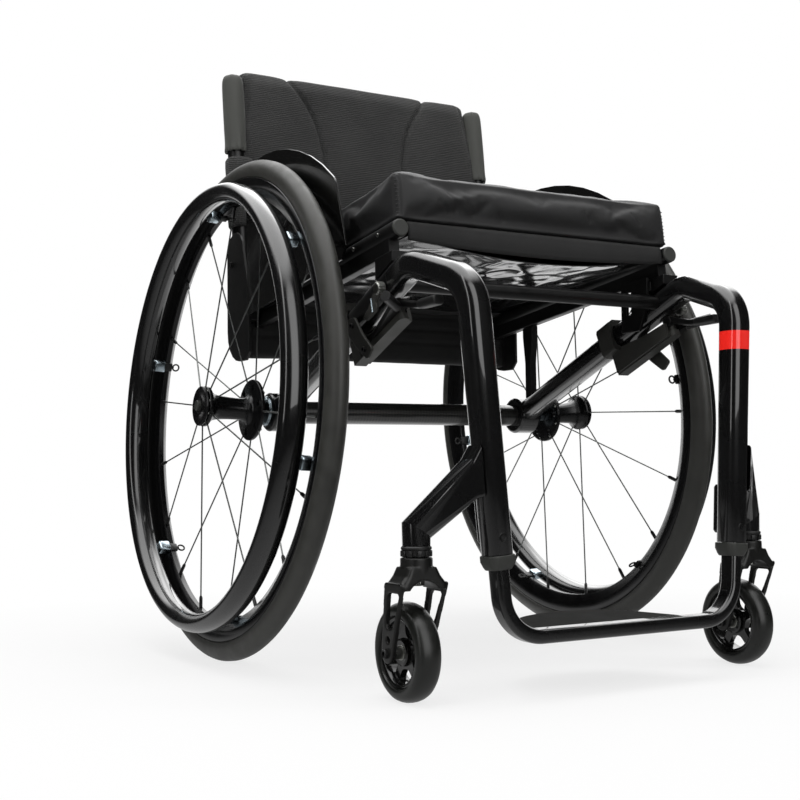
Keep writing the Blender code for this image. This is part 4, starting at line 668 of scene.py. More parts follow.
def rib_and_screw(side, word):
    """The rib behind the socket, and the countersunk screw in the front face."""
    bm = bmesh.new()
    rib = [at(side * on_front_tube(z)[0], on_front_tube(z)[1] + FRAME_TUBE_END / 2 + 0.0015, z)
           for z in (0.199, 0.196, 0.151, 0.148)]
    sweep(bm, outline(bm, 0.018, 0.011, 0.0045), stations(rib, X_AXIS, [(0.8, 0.7), (1, 1), (1, 1), (0.8, 0.7)]))
    piece(f"socket_rib_{word}", bm, frame_paint, "frame", edge=0.0006)
    screw = bmesh.new()
    x, y = on_front_tube(0.155)
    spot = at(side * (x + 0.001), y - FRAME_TUBE_END / 2 - 0.0001, 0.155)
    lathe(screw, [(0, -0.0016), (0.0019, -0.0016), (0.0019, 0.0001), (0.0038, 0.0003), (0.0043, 0.0),
                  (0.0043, -0.002)], 24, facing(spot, -Y_AXIS))
    piece(f"socket_screw_{word}", screw, black_anodised, "frame")


def footrest():
    """One bent tube between the sockets, and its two collars."""
    top_z = TUBE_END_Z + 0.054
    top_x, top_y = on_front_tube(top_z)
    corners = [at(-top_x, top_y, top_z), at(-FOOT[0], *FOOT[1:]), at(FOOT[0], *FOOT[1:]), at(top_x, top_y, top_z)]
    bm = bmesh.new()
    sweep(bm, outline(bm, 0.020, 0.014, 0.0045, 6), stations(filleted(corners, (0.042, 0.042), 20), Y_AXIS))
    piece("footrest_bow", bm, frame_paint, "frame", ["footrest_tube"], edge=0.0005)
    for side, word in SIDES:
        heights = (TUBE_END_Z - 0.0003, TUBE_END_Z - 0.006, TUBE_END_Z - 0.0112, TUBE_END_Z - 0.014)
        path = [at(side * on_front_tube(z)[0], on_front_tube(z)[1], z) for z in heights]
        bm = bmesh.new()
        sweep(bm, outline(bm, 0.0286, 0.0286, 0.0085, 6),
              stations(path, X_AXIS, [(1, 1), (1, 1), (0.86, 0.86), (0.74, 0.76)]))
        piece(f"clamp_collar_{word}", bm, grey_nylon, "frame", [f"footrest_collar_{word}"],
              edge=0.0008)


def tray():
    """A shallow tray that spreads to the tube's bends: a glossy rim around a dull well."""
    low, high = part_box("footplate")
    high.z -= 0.0025
    bm = bmesh.new()
    rear = [Vector((0.066 * x, high.y - 0.020 * x * x, high.z))
            for x in (1, 0.75, 0.5, 0.25, 0, -0.25, -0.5, -0.75, -1)]
    verts = [bm.verts.new(point) for point in rear]
    verts += [bm.verts.new((x, low.y + 0.0004, high.z)) for x in (-0.104, 0.104)]
    bm.faces.new(verts)
    for vert, rounding in ((verts[0], 0.010), (verts[8], 0.010), (verts[9], 0.004), (verts[10], 0.004)):
        bmesh.ops.bevel(bm, geom=[vert], offset=rounding, offset_type="OFFSET", affect="VERTICES", segments=5,
                        profile=0.5, material=-1)
    top = list(bm.faces)
    bmesh.ops.inset_region(bm, faces=top, thickness=0.0105, use_even_offset=True)
    bmesh.ops.inset_region(bm, faces=top, thickness=0.0012, depth=-0.0048, use_even_offset=True)
    rim = [e for e in bm.edges if len(e.link_faces) == 1]
    grown = bmesh.ops.extrude_edge_only(bm, edges=rim)["geom"]
    bmesh.ops.translate(bm, vec=(0, 0, low.z - high.z), verts=[v for v in grown if isinstance(v, bmesh.types.BMVert)])
    bmesh.ops.contextual_create(bm, geom=[e for e in grown if isinstance(e, bmesh.types.BMEdge)])
    for vertex in bm.verts:
        vertex.co.z += 0.0035 * (vertex.co.y - low.y) / (high.y - low.y)
    made = piece("footplate_tray", bm, frame_paint, "frame", ["footplate"], edge=0.0008)
    made.data.materials.append(well_mat)
    for face in made.data.polygons:
        x, y, z = face.center
        if face.normal.z > 0.9 and z < high.z + 0.0035 * (y - low.y) / (high.y - low.y) - 0.002:
            face.material_index = 1


for side, word in SIDES:
    side_frame(side, word)
footrest()
tray()
refined("front_cross_tube", black_anodised, 0.0006)


def axle_tube():
    low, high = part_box("axle_tube")
    centre = (low + high) / 2
    end, radius = (high.x - low.x) / 2, (high.z - low.z) / 2
    bm = lathe(bmesh.new(), [(radius - 0.002, -end), (radius, -end), (radius, end), (radius - 0.002, end)], 64,
               Matrix.Translation(centre), closed=True)
    piece("carbon_axle_tube", bm, carbon, "frame", ["axle_tube"])


axle_tube()

# Casters

CASTER_HALF, CASTER_RIM, CASTER_RADIUS = 0.013, 0.0335, 0.047


def caster_wheel(side, word):
    place = Matrix.Translation(JOINTS[f"caster_wheel_spin_{word}"]["pos_m"])
    body, seat = f"caster_wheel_{word}", CASTER_RIM + 0.0003
    flank = [(seat, -0.0100), (seat + 0.0010, -0.0120), (seat + 0.0030, -0.0129), (0.0400, -0.0127),
             (0.0425, -0.0118), (0.0446, -0.0098), (0.0460, -0.0068), (0.0468, -0.0034)]
    profile = flank + [(CASTER_RADIUS, 0)] + [(radius, -along) for radius, along in reversed(flank)]
    piece(f"caster_tread_{word}", lathe(bmesh.new(), profile, 96, closed=True), caster_rubber, body,
          [f"caster_tyre_{word}"], place)
    half = [(0.0048, -0.0074), (0.0112, -0.0078), (0.0128, -0.0068), (0.0136, -0.0034), (0.0285, -0.0034),
            (0.0296, -0.0088), (0.0306, -0.0099), (0.0322, -0.0103), (CASTER_RIM, -0.0096)]
    made = piece(f"five_spoke_wheel_{word}",
                 lathe(bmesh.new(), half + [(r, -a) for r, a in reversed(half)], 96, closed=True), gloss_plastic, body,
                 [f"caster_hub_{word}"], place)
    openings = bmesh.new()
    for i in range(5):
        corners = [(r * cos(turn), r * sin(turn), 0.0036)
                   for r, turn in ((0.0166, -0.34), (0.0290, -0.48), (0.0310, 0.0), (0.0290, 0.48), (0.0166, 0.34))]
        plate(openings, corners, 0.04, Matrix.Rotation(2 * pi * i / 5 + 2 * pi / 3, 4, "X"))
    drilled(made, openings, place)
    soft = made.modifiers.new("soft_edges", "BEVEL")
    soft.width, soft.segments, soft.limit_method, soft.angle_limit = 0.0011, 3, "ANGLE", radians(40)
    bearing = bmesh.new()
    for out in (-1, 1):
        spot = Matrix.Rotation(0 if out > 0 else pi, 4, "Z")
        lathe(bearing, [(0.0044, 0.0070), (0.0072, 0.0070), (0.0076, 0.0074), (0.0072, 0.0079),
                        (0.0062, 0.0079), (0.0060, 0.0076), (0.0060, 0.0150), (0.0044, 0.0152)], 36, spot,
              closed=True)
    piece(f"caster_bearing_{word}", bearing, plain_steel, body, place=place)


LEG = ((-0.0160, 0.1140, 0.003), (0.0160, 0.1140, 0.003), (0.0287, 0.0480, 0), (0.0287, 0.0375, 0.0085),
       (0.0128, 0.0375, 0.0078))
LEG_WINDOW = ((-0.0113, 0.1045, 0.0045), (0.0113, 0.1045, 0.0045), (0.0189, 0.0705, 0.0055), (0.0051, 0.0705, 0.0055))


def fork(side, word):
    """A cast fork: a round crown on square shoulders, an arch over the wheel, and two windowed legs."""
    swivel = Vector(JOINTS[f"caster_swivel_{word}"]["pos_m"])
    foot = Matrix.Translation((swivel.x, swivel.y, 0))
    crown, neck = bmesh.new(), bmesh.new()
    rod(neck, Vector((0, 0, 0.119)), Vector((0, 0, 0.1367)), 0.0153, 48)
    rod(neck, Vector((0, 0, 0.136)), Vector((0, 0, 0.1568)), 0.0060, 32)
    bmesh.ops.transform(neck, matrix=foot, verts=neck.verts)
    heights = (0.1072, 0.1110, 0.1150, 0.1200, 0.1280)
    sweep(crown, outline(crown, 0.0512, 0.0330, 0.0060), stations(
        [Vector((0, 0, z)) for z in heights], X_AXIS, [(0.99, 1), (1, 1), (0.90, 0.98), (0.74, 0.94), (0.58, 0.90)]))
    bmesh.ops.transform(crown, matrix=foot, verts=crown.verts)
    crown = blank(crown)
    arch = bmesh.new()
    rod(arch, Vector((0, -0.04, 0.0965)), Vector((0, 0.04, 0.0965)), 0.0192, 64)
    drilled(crown, arch, foot)
    legs = []
    for out in (-1, 1):
        leg, window = bmesh.new(), bmesh.new()
        plate(leg, LEG, 0.0052)
        plate(window, LEG_WINDOW, 0.03)
        rod(window, Vector((-0.02, 0.0150, 0.0605)), Vector((0.02, 0.0150, 0.0605)), 0.0034, 24)
        leg = blank(leg)
        drilled(leg, window)
        for vertex in leg.data.vertices:
            vertex.co.x += out * (0.0200 + 0.0032 * (vertex.co.z - 0.047) / 0.0615)
        leg.data.transform(foot)
        legs.append(leg)
    body = f"caster_swivel_{word}"
    cast(f"cast_fork_{word}", [crown, blank(neck)] + legs, 0.0008, 6, fork_coat, body, [f"caster_fork_{word}"])
    axle = Vector(JOINTS[f"caster_wheel_spin_{word}"]["pos_m"])
    bolts, nut = bmesh.new(), bmesh.new()
    for out in (-1, 1):
        socket_screw(bolts, facing(axle + X_AXIS * out * 0.0224, X_AXIS * out), 0.0046)
    rod(bolts, axle - X_AXIS * 0.022, axle + X_AXIS * 0.022, 0.0038, 24)
    piece(f"caster_bolt_{word}", bolts, black_anodised, body)
    rod(nut, foot @ Vector((0, 0, 0.1105)), foot @ Vector((0, 0, 0.118)), 0.0075, 6)
    piece(f"stem_nut_{word}", nut, plain_steel, body, edge=0.0005)


def stem_cover(side, word):
    """A cap with ten soft teeth between the arm and the fork."""
    low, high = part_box(f"stem_cover_{word}")
    centre = (low + high) / 2
    height = high.z - low.z
    upright = facing(Vector((centre.x, centre.y, low.z)), Z_AXIS)
    bm = lathe(bmesh.new(), [(0.0064, 0), (0.0118, 0), (0.0132, 0.0012), (0.0134, height - 0.0036),
                             (0.0145, height - 0.0030), (0.0146, height - 0.0012), (0.0136, height),
                             (0.0064, height)], 60, upright, closed=True)
    for i in range(10):
        turn = Matrix.Rotation(2 * pi * i / 10, 4, "Z")
        spot = Matrix.Translation((centre.x, centre.y, low.z + 0.0032)) @ turn @ Matrix.Translation((0.0134, 0, 0))
        block(bm, spot, (0.0032, 0.0048, 0.0060), 0.0010)
    piece(f"toothed_cover_{word}", bm, nylon, "frame", [f"stem_cover_{word}"])


for side, word in SIDES:
    refined(f"caster_arm_{word}", frame_paint, 0.0020)
    fork(side, word)
    caster_wheel(side, word)
    stem_cover(side, word)


# Brakes

BRAKE_Y, TUBE_SLOPE = -0.205, radians(21.95)


def brake_place(side):
    """X is away from the middle of the chair, Y along the tube to the front, and Z square to it."""
    spot = at(side * SIDE_X, BRAKE_Y, AXLE_TUBE_Z - BRAKE_Y * tan(TUBE_SLOPE))
    c, s = cos(TUBE_SLOPE), sin(TUBE_SLOPE)
    return Matrix(((side, 0, 0, spot.x), (0, -c, s, spot.y), (0, s, c, spot.z), (0, 0, 0, 1)))


def cheek_of_brake(word, local):
    """The slanted outer cheek of the clamp, and its two pinch screws."""
    bm, screws = bmesh.new(), bmesh.new()
    corners = ((0.0185, -0.0030, 0.003), (0.0335, -0.0075, 0.003), (0.0430, -0.0330, 0.006), (0.0565, -0.0560, 0.004),
               (0.0420, -0.0620, 0.004), (0.0255, -0.0395, 0.006), (0.0130, -0.0165, 0.004))
    plate(bm, corners, 0.0036, Matrix.Translation((0.0184, 0, 0)))
    piece(f"brake_cheek_{word}", bm, blasted_grey, "frame", place=local, edge=0.0010)
    for y, z in ((0.0275, -0.0150), (0.0420, -0.0500)):
        socket_screw(screws, facing(Vector((0.0202, y, z)), X_AXIS), 0.0030)
    piece(f"brake_cheek_screws_{word}", screws, black_anodised, "frame", place=local)


def lever_plate_of_brake(word, local):
    """A slim outer plate on the brake's body, with a knurled knob and a bright pin."""
    bm = bmesh.new()
    corners = ((0.0835, -0.0078, 0.003), (0.0985, -0.0110, 0.004), (0.0950, -0.0160, 0.002), (0.0870, -0.0180, 0.002),
               (0.0855, -0.0268, 0.003), (0.0600, -0.0272, 0.003), (0.0560, -0.0200, 0.003), (0.0700, -0.0170, 0.003))
    plate(bm, corners, 0.0035, Matrix.Translation((0.0210, 0, 0)))
    piece(f"brake_link_{word}", bm, blasted_grey, "frame", place=local, edge=0.0008)
    knob, pin = bmesh.new(), bmesh.new()
    middle = Matrix.Translation((0.0205, 0.0955, -0.0085))
    lathe(knob, [(0, -0.0045), (0.0054, -0.0045), (0.0064, -0.0034), (0.0064, 0.0034), (0.0054, 0.0045), (0, 0.0045)],
          30, middle)
    for k in range(15):
        turn = middle @ Matrix.Rotation(2 * pi * k / 15, 4, "X")
        block(knob, turn @ Matrix.Translation((0, 0, 0.0064)), (0.0076, 0.0013, 0.0014), 0.0004, 1)
    piece(f"brake_knob_{word}", knob, plain_steel, "frame", place=local)
    rod(pin, Vector((0.0234, 0.0800, -0.0120)), Vector((0.0234, 0.0775, -0.0262)), 0.0012, 12)
    piece(f"brake_pin_{word}", pin, chrome, "frame", place=local)


def lever_of_brake(word, local):
    """A slim bowed lever with a black grip."""
    bm = bmesh.new()
    corners = [Vector((0, *point)) for point in ((0.0880, -0.0235), (0.1010, -0.0265), (0.1260, -0.0430),
                                                 (0.1600, -0.0560))]
    path = filleted(corners, (0.016, 0.060), 8)
    sweep(bm, outline(bm, 0.0105, 0.0072, 0.0024, 4), stations(path, X_AXIS))
    rod(bm, Vector((-0.0064, 0.0940, -0.0250)), Vector((0.0064, 0.0940, -0.0250)), 0.0066, 28)
    piece(f"brake_lever_arm_{word}", bm, black_anodised, f"brake_lever_{word}", [f"brake_lever_{word}"],
          local, edge=0.0006)
    grip = bmesh.new()
    along = (corners[-1] - corners[-2]).normalized()
    path = [corners[-1] + along * step for step in (-0.0300, -0.0285, -0.0240, 0.0005, 0.0035, 0.0045)]
    sweep(grip, outline(grip, 0.0128, 0.0098, 0.0040, 5),
          stations(path, X_AXIS, [(0.84, 0.80), (0.94, 0.92), (1, 1), (1.04, 1.04), (0.94, 0.92), (0.7, 0.66)]))
    piece(f"brake_grip_{word}", grip, nylon, f"brake_lever_{word}", place=local, edge=0.0006)


for side, word in SIDES:
    local = brake_place(side)
    cheek_of_brake(word, local)
    lever_plate_of_brake(word, local)
    lever_of_brake(word, local)
    refined(f"brake_mount_{word}", blasted_grey, 0.0012)
    refined(f"brake_shoe_{word}", black_anodised, 0.0008)


# Seat and back hardware

def rail_screws(side, word):
    """Small screws that hold the sling's hem to the rail."""
    bm = bmesh.new()
    for y in (0.030, 0.085, 0.140, 0.195, 0.250, 0.305):
        socket_screw(bm, facing(Vector((side * (RAIL_X + RAIL_RADIUS - 0.0006), y, -0.0095)), X_AXIS * side), 0.0021)
    piece(f"rail_screws_{word}", bm, plain_steel, "frame", place=SEAT_PLACE)


for side, word in SIDES:
    for node, finish in (("seat_rail", black_anodised), ("front_seat_bracket", black_anodised),
                         ("rear_seat_post", black_anodised), ("back_hinge_bracket", black_anodised),
                         ("back_post", black_anodised), ("rail_end_cap", grey_nylon), ("sideguard", gloss_plastic)):
        refined(f"{node}_{word}", finish, 0.0004 if node in ("sideguard", "rail_end_cap") else 0.0008)
refined("back_bar", black_anodised, 0.0004)


# Seat and back covers

SEAT_SLOPE, BACK_LEAN = radians(6.4), radians(7)
RAIL_X, RAIL_RADIUS = 0.179, 0.0095
RAIL_FRONT_Y, RAIL_FRONT_Z = -0.302, 0.4643
HINGE_Y, HINGE_Z = 0.0965, 0.484
CUSHION_HALF, CUSHION_LENGTH, CUSHION_THICK, CUSHION_LIFT = 0.181, 0.356, 0.052, 0.0095


def swollen(name, bm, voxel, pressure, cap, held):
    """A closed shape, filled as a cover over foam. No point moves further than cap times held(point)."""
    mesh = bpy.data.meshes.new(name)
    bmesh.ops.recalc_face_normals(bm, faces=bm.faces)
    bm.to_mesh(mesh)
    bm.free()
    made = bpy.data.objects.new(name, mesh)
    bpy.context.scene.collection.objects.link(made)
    even = made.modifiers.new("even_faces", "REMESH")
    even.mode = "VOXEL"
    even.voxel_size = voxel
    settled(made)
    start = [v.co.copy() for v in made.data.vertices]
    cover = made.modifiers.new("cover", "CLOTH")
    cover.settings.use_pressure = True
    cover.settings.uniform_pressure_force = pressure
    cover.settings.effector_weights.gravity = 0
    for step in range(1, 21):
        bpy.context.scene.frame_set(step)
    settled(made)
    bpy.context.scene.frame_set(1)
    for vertex, rest in zip(made.data.vertices, start):
        move = vertex.co - rest
        limit = cap * held(rest)
        if move.length > limit:
            vertex.co = rest + move.normalized() * limit
    finer = made.modifiers.new("finer", "SUBSURF")
    finer.levels = finer.render_levels = 1
    return settled(made)


def near_line(x, z, start, end):
    """The distance of a point from a short line, in a plane."""
    (x0, z0), (x1, z1) = start, end
    share = ((x - x0) * (x1 - x0) + (z - z0) * (z1 - z0)) / ((x1 - x0) ** 2 + (z1 - z0) ** 2)
    share = min(max(share, 0), 1)
    return hypot(x - x0 - (x1 - x0) * share, z - z0 - (z1 - z0) * share)


def pressed(made, depth):
    """Moves each point inwards by depth(point, normal)."""
    normals = [v.normal.copy() for v in made.data.vertices]
    for vertex, normal in zip(made.data.vertices, normals):
        vertex.co -= normal * depth(vertex.co, normal)


def soft_piece(made, finish, body, nodes, place=None):
    if place:
        made.data.transform(place)
    made.data.materials.clear()
    made.data.materials.append(finish)
    made.data.shade_smooth()
    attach(made, body)
    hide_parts(*nodes)
    return made


SEAT_PLACE = (Matrix.Translation(at(0, RAIL_FRONT_Y, RAIL_FRONT_Z)) @ Matrix.Rotation(-SEAT_SLOPE, 4, "X")
              @ Matrix.Translation((0, 0, CUSHION_LIFT)))
PUCKERS = (((-0.129, 0.024), (-0.117, 0.013)), ((-0.118, 0.033), (-0.107, 0.016)),
           ((-0.109, 0.025), (-0.100, 0.016)), ((-0.099, 0.029), (-0.085, 0.014)),
           ((-0.054, 0.018), (-0.048, 0.010)), ((0.060, 0.030), (0.068, 0.020)), ((0.128, 0.034), (0.139, 0.022)))


def cushion():
    """A boxed foam cushion in a coated cover: crowned on top, with a stitched seam down each corner."""
    bm = bmesh.new()
    middle = Matrix.Translation((0, CUSHION_LENGTH / 2, CUSHION_THICK / 2))
    block(bm, middle, (CUSHION_HALF * 2 + 0.001, CUSHION_LENGTH, CUSHION_THICK), 0.0022, 2)
    bmesh.ops.translate(bm, vec=(0, 0, 0.0010), verts=bm.verts)

    def held(point):
        return 0.0 if point.z < 0.004 else 1.0

    made = swollen("seat_cushion_cover", bm, 0.0042, 3.0, 0.0045, held)

    def depth(point, normal):
        worn = 0.0006 * noise.noise(point * 22) + 0.0003 * noise.noise(point * 60)
        if normal.y < -0.5:
            for start, end in PUCKERS:
                worn += 0.0013 * exp(-(near_line(point.x, point.z, start, end) / 0.0017) ** 2)
        corner = hypot(abs(point.x) - CUSHION_HALF, point.y)
        worn += 0.0010 * exp(-((corner - 0.006) / 0.0016) ** 2)
        top = hypot(corner, point.z - CUSHION_THICK)
        worn += 0.0012 * exp(-(top / 0.012) ** 2) * (0.6 + 0.4 * sin(point.x * 1400 + point.z * 900))
        return worn

    pressed(made, depth)
    soft_piece(made, cushion_cloth, "frame", ["seat_cushion"], SEAT_PLACE)
    bm = bmesh.new()
    for side in (-1, 1):
        for k in range(9):
            near = SEAT_PLACE @ Vector((side * (CUSHION_HALF - 0.001), 0.001, 0.009 + k * 0.0042))
            _, spot, out, _ = made.closest_point_on_mesh(near)
            block(bm, facing(spot, out), (0.0008, 0.0040, 0.0008), 0.0002, 1)
    piece("cushion_corner_stitches", bm, thread, "frame")


SEAM = ((0.108, 0.752), (0.098, 0.737), (0.084, 0.717), (0.074, 0.699), (0.068, 0.683), (0.061, 0.649),
        (0.058, 0.610), (0.057, 0.450))
PANEL_HALF, PANEL_LOW, PANEL_HIGH, PANEL_THICK, PANEL_FRONT = 0.1735, 0.448, 0.7535, 0.036, -0.0045
BACK_PLACE = Matrix(((1, 0, 0, 0), (0, 1, tan(BACK_LEAN), HINGE_Y + AXLE_Y - HINGE_Z * tan(BACK_LEAN)),
                     (0, 0, 1, 0), (0, 0, 0, 1)))


def back_panel():
    """A padded panel in ribbed mesh. Two curved seams part its crowned middle from its wings."""
    bm = bmesh.new()
    middle = Matrix.Translation((0, PANEL_FRONT + PANEL_THICK / 2, (PANEL_LOW + PANEL_HIGH) / 2))
    block(bm, middle, (PANEL_HALF * 2, PANEL_THICK - 0.003, PANEL_HIGH - PANEL_LOW - 0.003), 0.009, 4)

    def held(point):
        return 0.4 if point.z > PANEL_HIGH - 0.012 else 1.0

    def wing(z):
        """How much wider the panel is towards its foot, where its edges wrap the posts."""
        return 0.0115 * min(max((PANEL_HIGH - 0.010 - z) / 0.075, 0), 1)

    made = swollen("back_panel_cover", bm, 0.005, 2.0, 0.003, held)
    for vertex in made.data.vertices:
        share = min(max((abs(vertex.co.x) - 0.120) / 0.053, 0), 1)
        vertex.co.x *= 1 + wing(vertex.co.z) / PANEL_HALF * share
        front = 1 if vertex.co.y < PANEL_FRONT + PANEL_THICK / 2 else 0.3
        vertex.co.y -= front * wing(vertex.co.z) * 1.15 * max(0, (abs(vertex.co.x) - 0.150) / 0.035) ** 2

    def depth(point, normal):
        worn = 0.0005 * noise.noise(point * 25)
        x, z = abs(point.x), point.z
        near = min(near_line(x, z, a, b) for a, b in zip(SEAM, SEAM[1:]))
        if normal.y < -0.3 or z > PANEL_HIGH - 0.006:
            worn += 0.0038 * exp(-(near / 0.0026) ** 2)
            worn -= 0.0016 * (1 - exp(-(near / 0.012) ** 2))
        worn += 0.0016 * exp(-((x - PANEL_HALF - wing(z) + 0.010) / 0.0020) ** 2) * (normal.y < -0.3)
        return worn

    pressed(made, depth)
    soft_piece(made, mesh_cloth, "backrest", ["back_upholstery"], BACK_PLACE)
    for side, word in SIDES:
        bm = bmesh.new()
        path = [BACK_PLACE @ Vector((side * 0.1835, 0, z)) for z in (0.534, 0.5365, 0.545, 0.580, 0.616, 0.6245, 0.627)]
        sweep(bm, outline(bm, 0.036, 0.030, 0.0125, 5),
              stations(path, X_AXIS, [(0.9, 0.86), (0.98, 0.96), (1, 1), (0.97, 0.97), (1, 1), (0.98, 0.96),
                                      (0.9, 0.86)]))
        made = piece(f"post_sleeve_{word}", bm, mesh_cloth, "backrest", sharp=60)


def post_pad(side, word):
    """A neoprene-covered tube of foam, drawn together at its lower end."""
    length = 0.1068
    profile = [(0.0112, 0.0022), (0.0125, 0.0004), (0.0136, 0.0010), (0.0144, 0.0040), (0.0141, 0.0075),
               (0.0140, 0.014), (0.0143, 0.030), (0.0144, 0.055), (0.0143, 0.085), (0.0141, 0.098),
               (0.0130, 0.1035), (0.0105, 0.1062), (0.0060, 0.1072), (0, 0.1074)]
    up = Vector((0, sin(BACK_LEAN), cos(BACK_LEAN)))
    base = BACK_PLACE @ Vector((side * 0.187, 0, 0.635))
    bm = lathe(bmesh.new(), profile, 64)
    for vertex in bm.verts:
        turn = atan2(vertex.co.z, vertex.co.y)
        fold = (exp(-vertex.co.x / 0.008) * 0.0013 * sin(turn * 9)
                + exp(-(length - vertex.co.x) / 0.006) * 0.0004 * sin(turn * 7))
        soft = 0.0003 * noise.noise(vertex.co * 90)
        out = Vector((0, vertex.co.y, vertex.co.z))
        if out.length > 1e-5:
            vertex.co += out.normalized() * (fold + soft)
    made = piece(f"pad_cover_{word}", bm, pad_cloth, "backrest", [f"post_pad_{word}"],
                 facing(base, up), sharp=80)
    finer = made.modifiers.new("finer", "SUBSURF")
    finer.levels = finer.render_levels = 1


FLAP_LINES = (0.391, 0.409, 0.426, 0.443)


def flap():
    """A thin panel quilted in level channels, between the side plates."""
    low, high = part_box("rear_flap")
    centre, size = (low + high) / 2, high - low
    bm = bmesh.new()
    block(bm, Matrix.Translation(centre), size - Vector((0.001, 0.002, 0.001)), 0.004, 3)
    made = swollen("rear_flap_cover", bm, 0.005, 2.0, 0.0015, lambda point: 1.0)

    def depth(point, normal):
        near = min(abs(point.z - line) for line in FLAP_LINES)
        return 0.0018 * exp(-(near / 0.0022) ** 2) * (abs(normal.y) > 0.5) + 0.0004 * noise.noise(point * 40)

    pressed(made, depth)
    soft_piece(made, hem_cloth, "frame", ["rear_flap"])


SLING_HALF, SLING_DEEP = 0.1686, 0.353


def sling():
    """Coated cloth stretched between the rails, creased where it shines below, with dull hems in front and behind."""
    def sag(x):
        return 0.0045 + 0.018 * (1 - (x / SLING_HALF) ** 2)

    bm = bmesh.new()
    for vertex in bmesh.ops.create_grid(bm, x_segments=150, y_segments=140, size=0.5)["verts"]:
        x, y = vertex.co.x * 2 * SLING_HALF, (vertex.co.y + 0.5) * SLING_DEEP
        free = min(1.0, (SLING_HALF - abs(x)) / 0.02) * min(1.0, y / 0.012)
        back = y / SLING_DEEP
        crease = (abs(noise.noise(Vector((x * 17, y * 15, 4.7))))
                  - 0.35 * abs(noise.noise(Vector((x * 37, y * 30, 1.3)))))
        vertex.co = Vector((x, y + 0.004, -0.001 - CUSHION_LIFT * (1 - back) - sag(x) * (1 - 0.85 * back)
                            + 0.0042 * crease * free))
    made = piece("seat_sling_cloth", bm, sling_cloth, "frame", ["seat_sling"], SEAT_PLACE, sharp=80)
    made.data.materials.append(hem_cloth)
    hem_line = (SEAT_PLACE @ Vector((0, SLING_DEEP - 0.024, 0))).y
    for face in made.data.polygons:
        face.material_index = int(face.center.y > hem_line)
    wall = made.modifiers.new("cloth", "SOLIDIFY")
    wall.thickness, wall.offset = 0.0010, 0.0
    bm = bmesh.new()
    for vertex in bmesh.ops.create_grid(bm, x_segments=60, y_segments=6, size=0.5)["verts"]:
        x, down = vertex.co.x * 2 * SLING_HALF, 0.5 - vertex.co.y
        low = -0.0205 - 0.0068 * (1 - (x / SLING_HALF) ** 2)
        vertex.co = Vector((x, 0.0030 - 0.0016 * sin(pi * down), -0.0012 + (low + 0.0012) * down))
    hem = piece("sling_front_hem", bm, hem_cloth, "frame", place=SEAT_PLACE, sharp=80)
    wall = hem.modifiers.new("webbing", "SOLIDIFY")
    wall.thickness, wall.offset = 0.0016, 0.0


for side, word in SIDES:
    post_pad(side, word)
    rail_screws(side, word)
sling()
cushion()
back_panel()
flap()


# Studio

def studio():
    """White to the eye. Gloss shows a white backdrop and ceiling, tall soft boxes, and else a dark room."""
    stage = bpy.data.worlds.new("studio")
    bpy.context.scene.world = stage
    stage.use_nodes = True
    back = stage.node_tree.nodes["Background"]
    rays = add(stage, "ShaderNodeLightPath")
    place = add(stage, "ShaderNodeTexCoord").outputs["Generated"]

    def ramp(value, start, end, high):
        return add(stage, "ShaderNodeMapRange", {"Value": value, "From Min": start, "From Max": end,
                                                 "To Min": 0.0, "To Max": high},
                   interpolation_type="SMOOTHSTEP").outputs[0]

    def towards(direction):
        return add(stage, "ShaderNodeVectorMath", {0: place, 1: direction}, operation="DOT_PRODUCT").outputs["Value"]

    def tall_box(degrees, wide, soft, strength):
        """An upright soft box, seen in one heading from the chair."""
        heading = radians(degrees)
        aside = add(stage, "ShaderNodeMath", {0: towards((-sin(heading), cos(heading), 0))}, operation="ABSOLUTE")
        across = ramp(aside.outputs[0], wide + soft, wide, strength)
        ahead = ramp(towards((cos(heading), sin(heading), 0)), 0.45, 0.6, 1.0)
        return add(stage, "ShaderNodeMath", {0: across, 1: ahead}, operation="MULTIPLY").outputs[0]

    room = add(stage, "ShaderNodeMath", {0: ramp(towards((0.5, 0.865, 0.03)), 0.74, 0.92, 1.1), 1: 0.02},
               operation="ADD").outputs[0]
    for lit in (ramp(towards((0.0, 0.2, 0.98)), 0.68, 0.86, 2.8), ramp(towards((0.45, 0.6, 0.66)), 0.86, 0.96, 1.6),
                tall_box(-88, 0.28, 0.16, 2.2),
                tall_box(-158, 0.04, 0.07, 3.0), tall_box(25, 0.06, 0.12, 1.0)):
        room = add(stage, "ShaderNodeMath", {0: room, 1: lit}, operation="ADD").outputs[0]
    mirrored = add(stage, "ShaderNodeMath", {0: rays.outputs["Is Glossy Ray"], 1: rays.outputs["Is Transmission Ray"]},
                   operation="MAXIMUM")
    light = add(stage, "ShaderNodeMix", {0: mirrored.outputs[0], 2: 0.34, 3: room})
    shown = add(stage, "ShaderNodeMath", {0: rays.outputs["Is Camera Ray"], 1: light.outputs[0]},
                operation="MAXIMUM")
    stage.node_tree.links.new(shown.outputs[0], back.inputs["Strength"])
    back.inputs["Color"].default_value = (1, 1, 1, 1)


def softbox(name, place, target, width, height, power):
    data = bpy.data.lights.new(name, "AREA")
    data.shape, data.size, data.size_y, data.energy = "RECTANGLE", width, height, power
    lamp = bpy.data.objects.new(name, data)
    lamp.location = place
    lamp.visible_glossy = False
    lamp.rotation_euler = (Vector(target) - Vector(place)).to_track_quat("-Z", "Y").to_euler()
    bpy.context.scene.collection.objects.link(lamp)


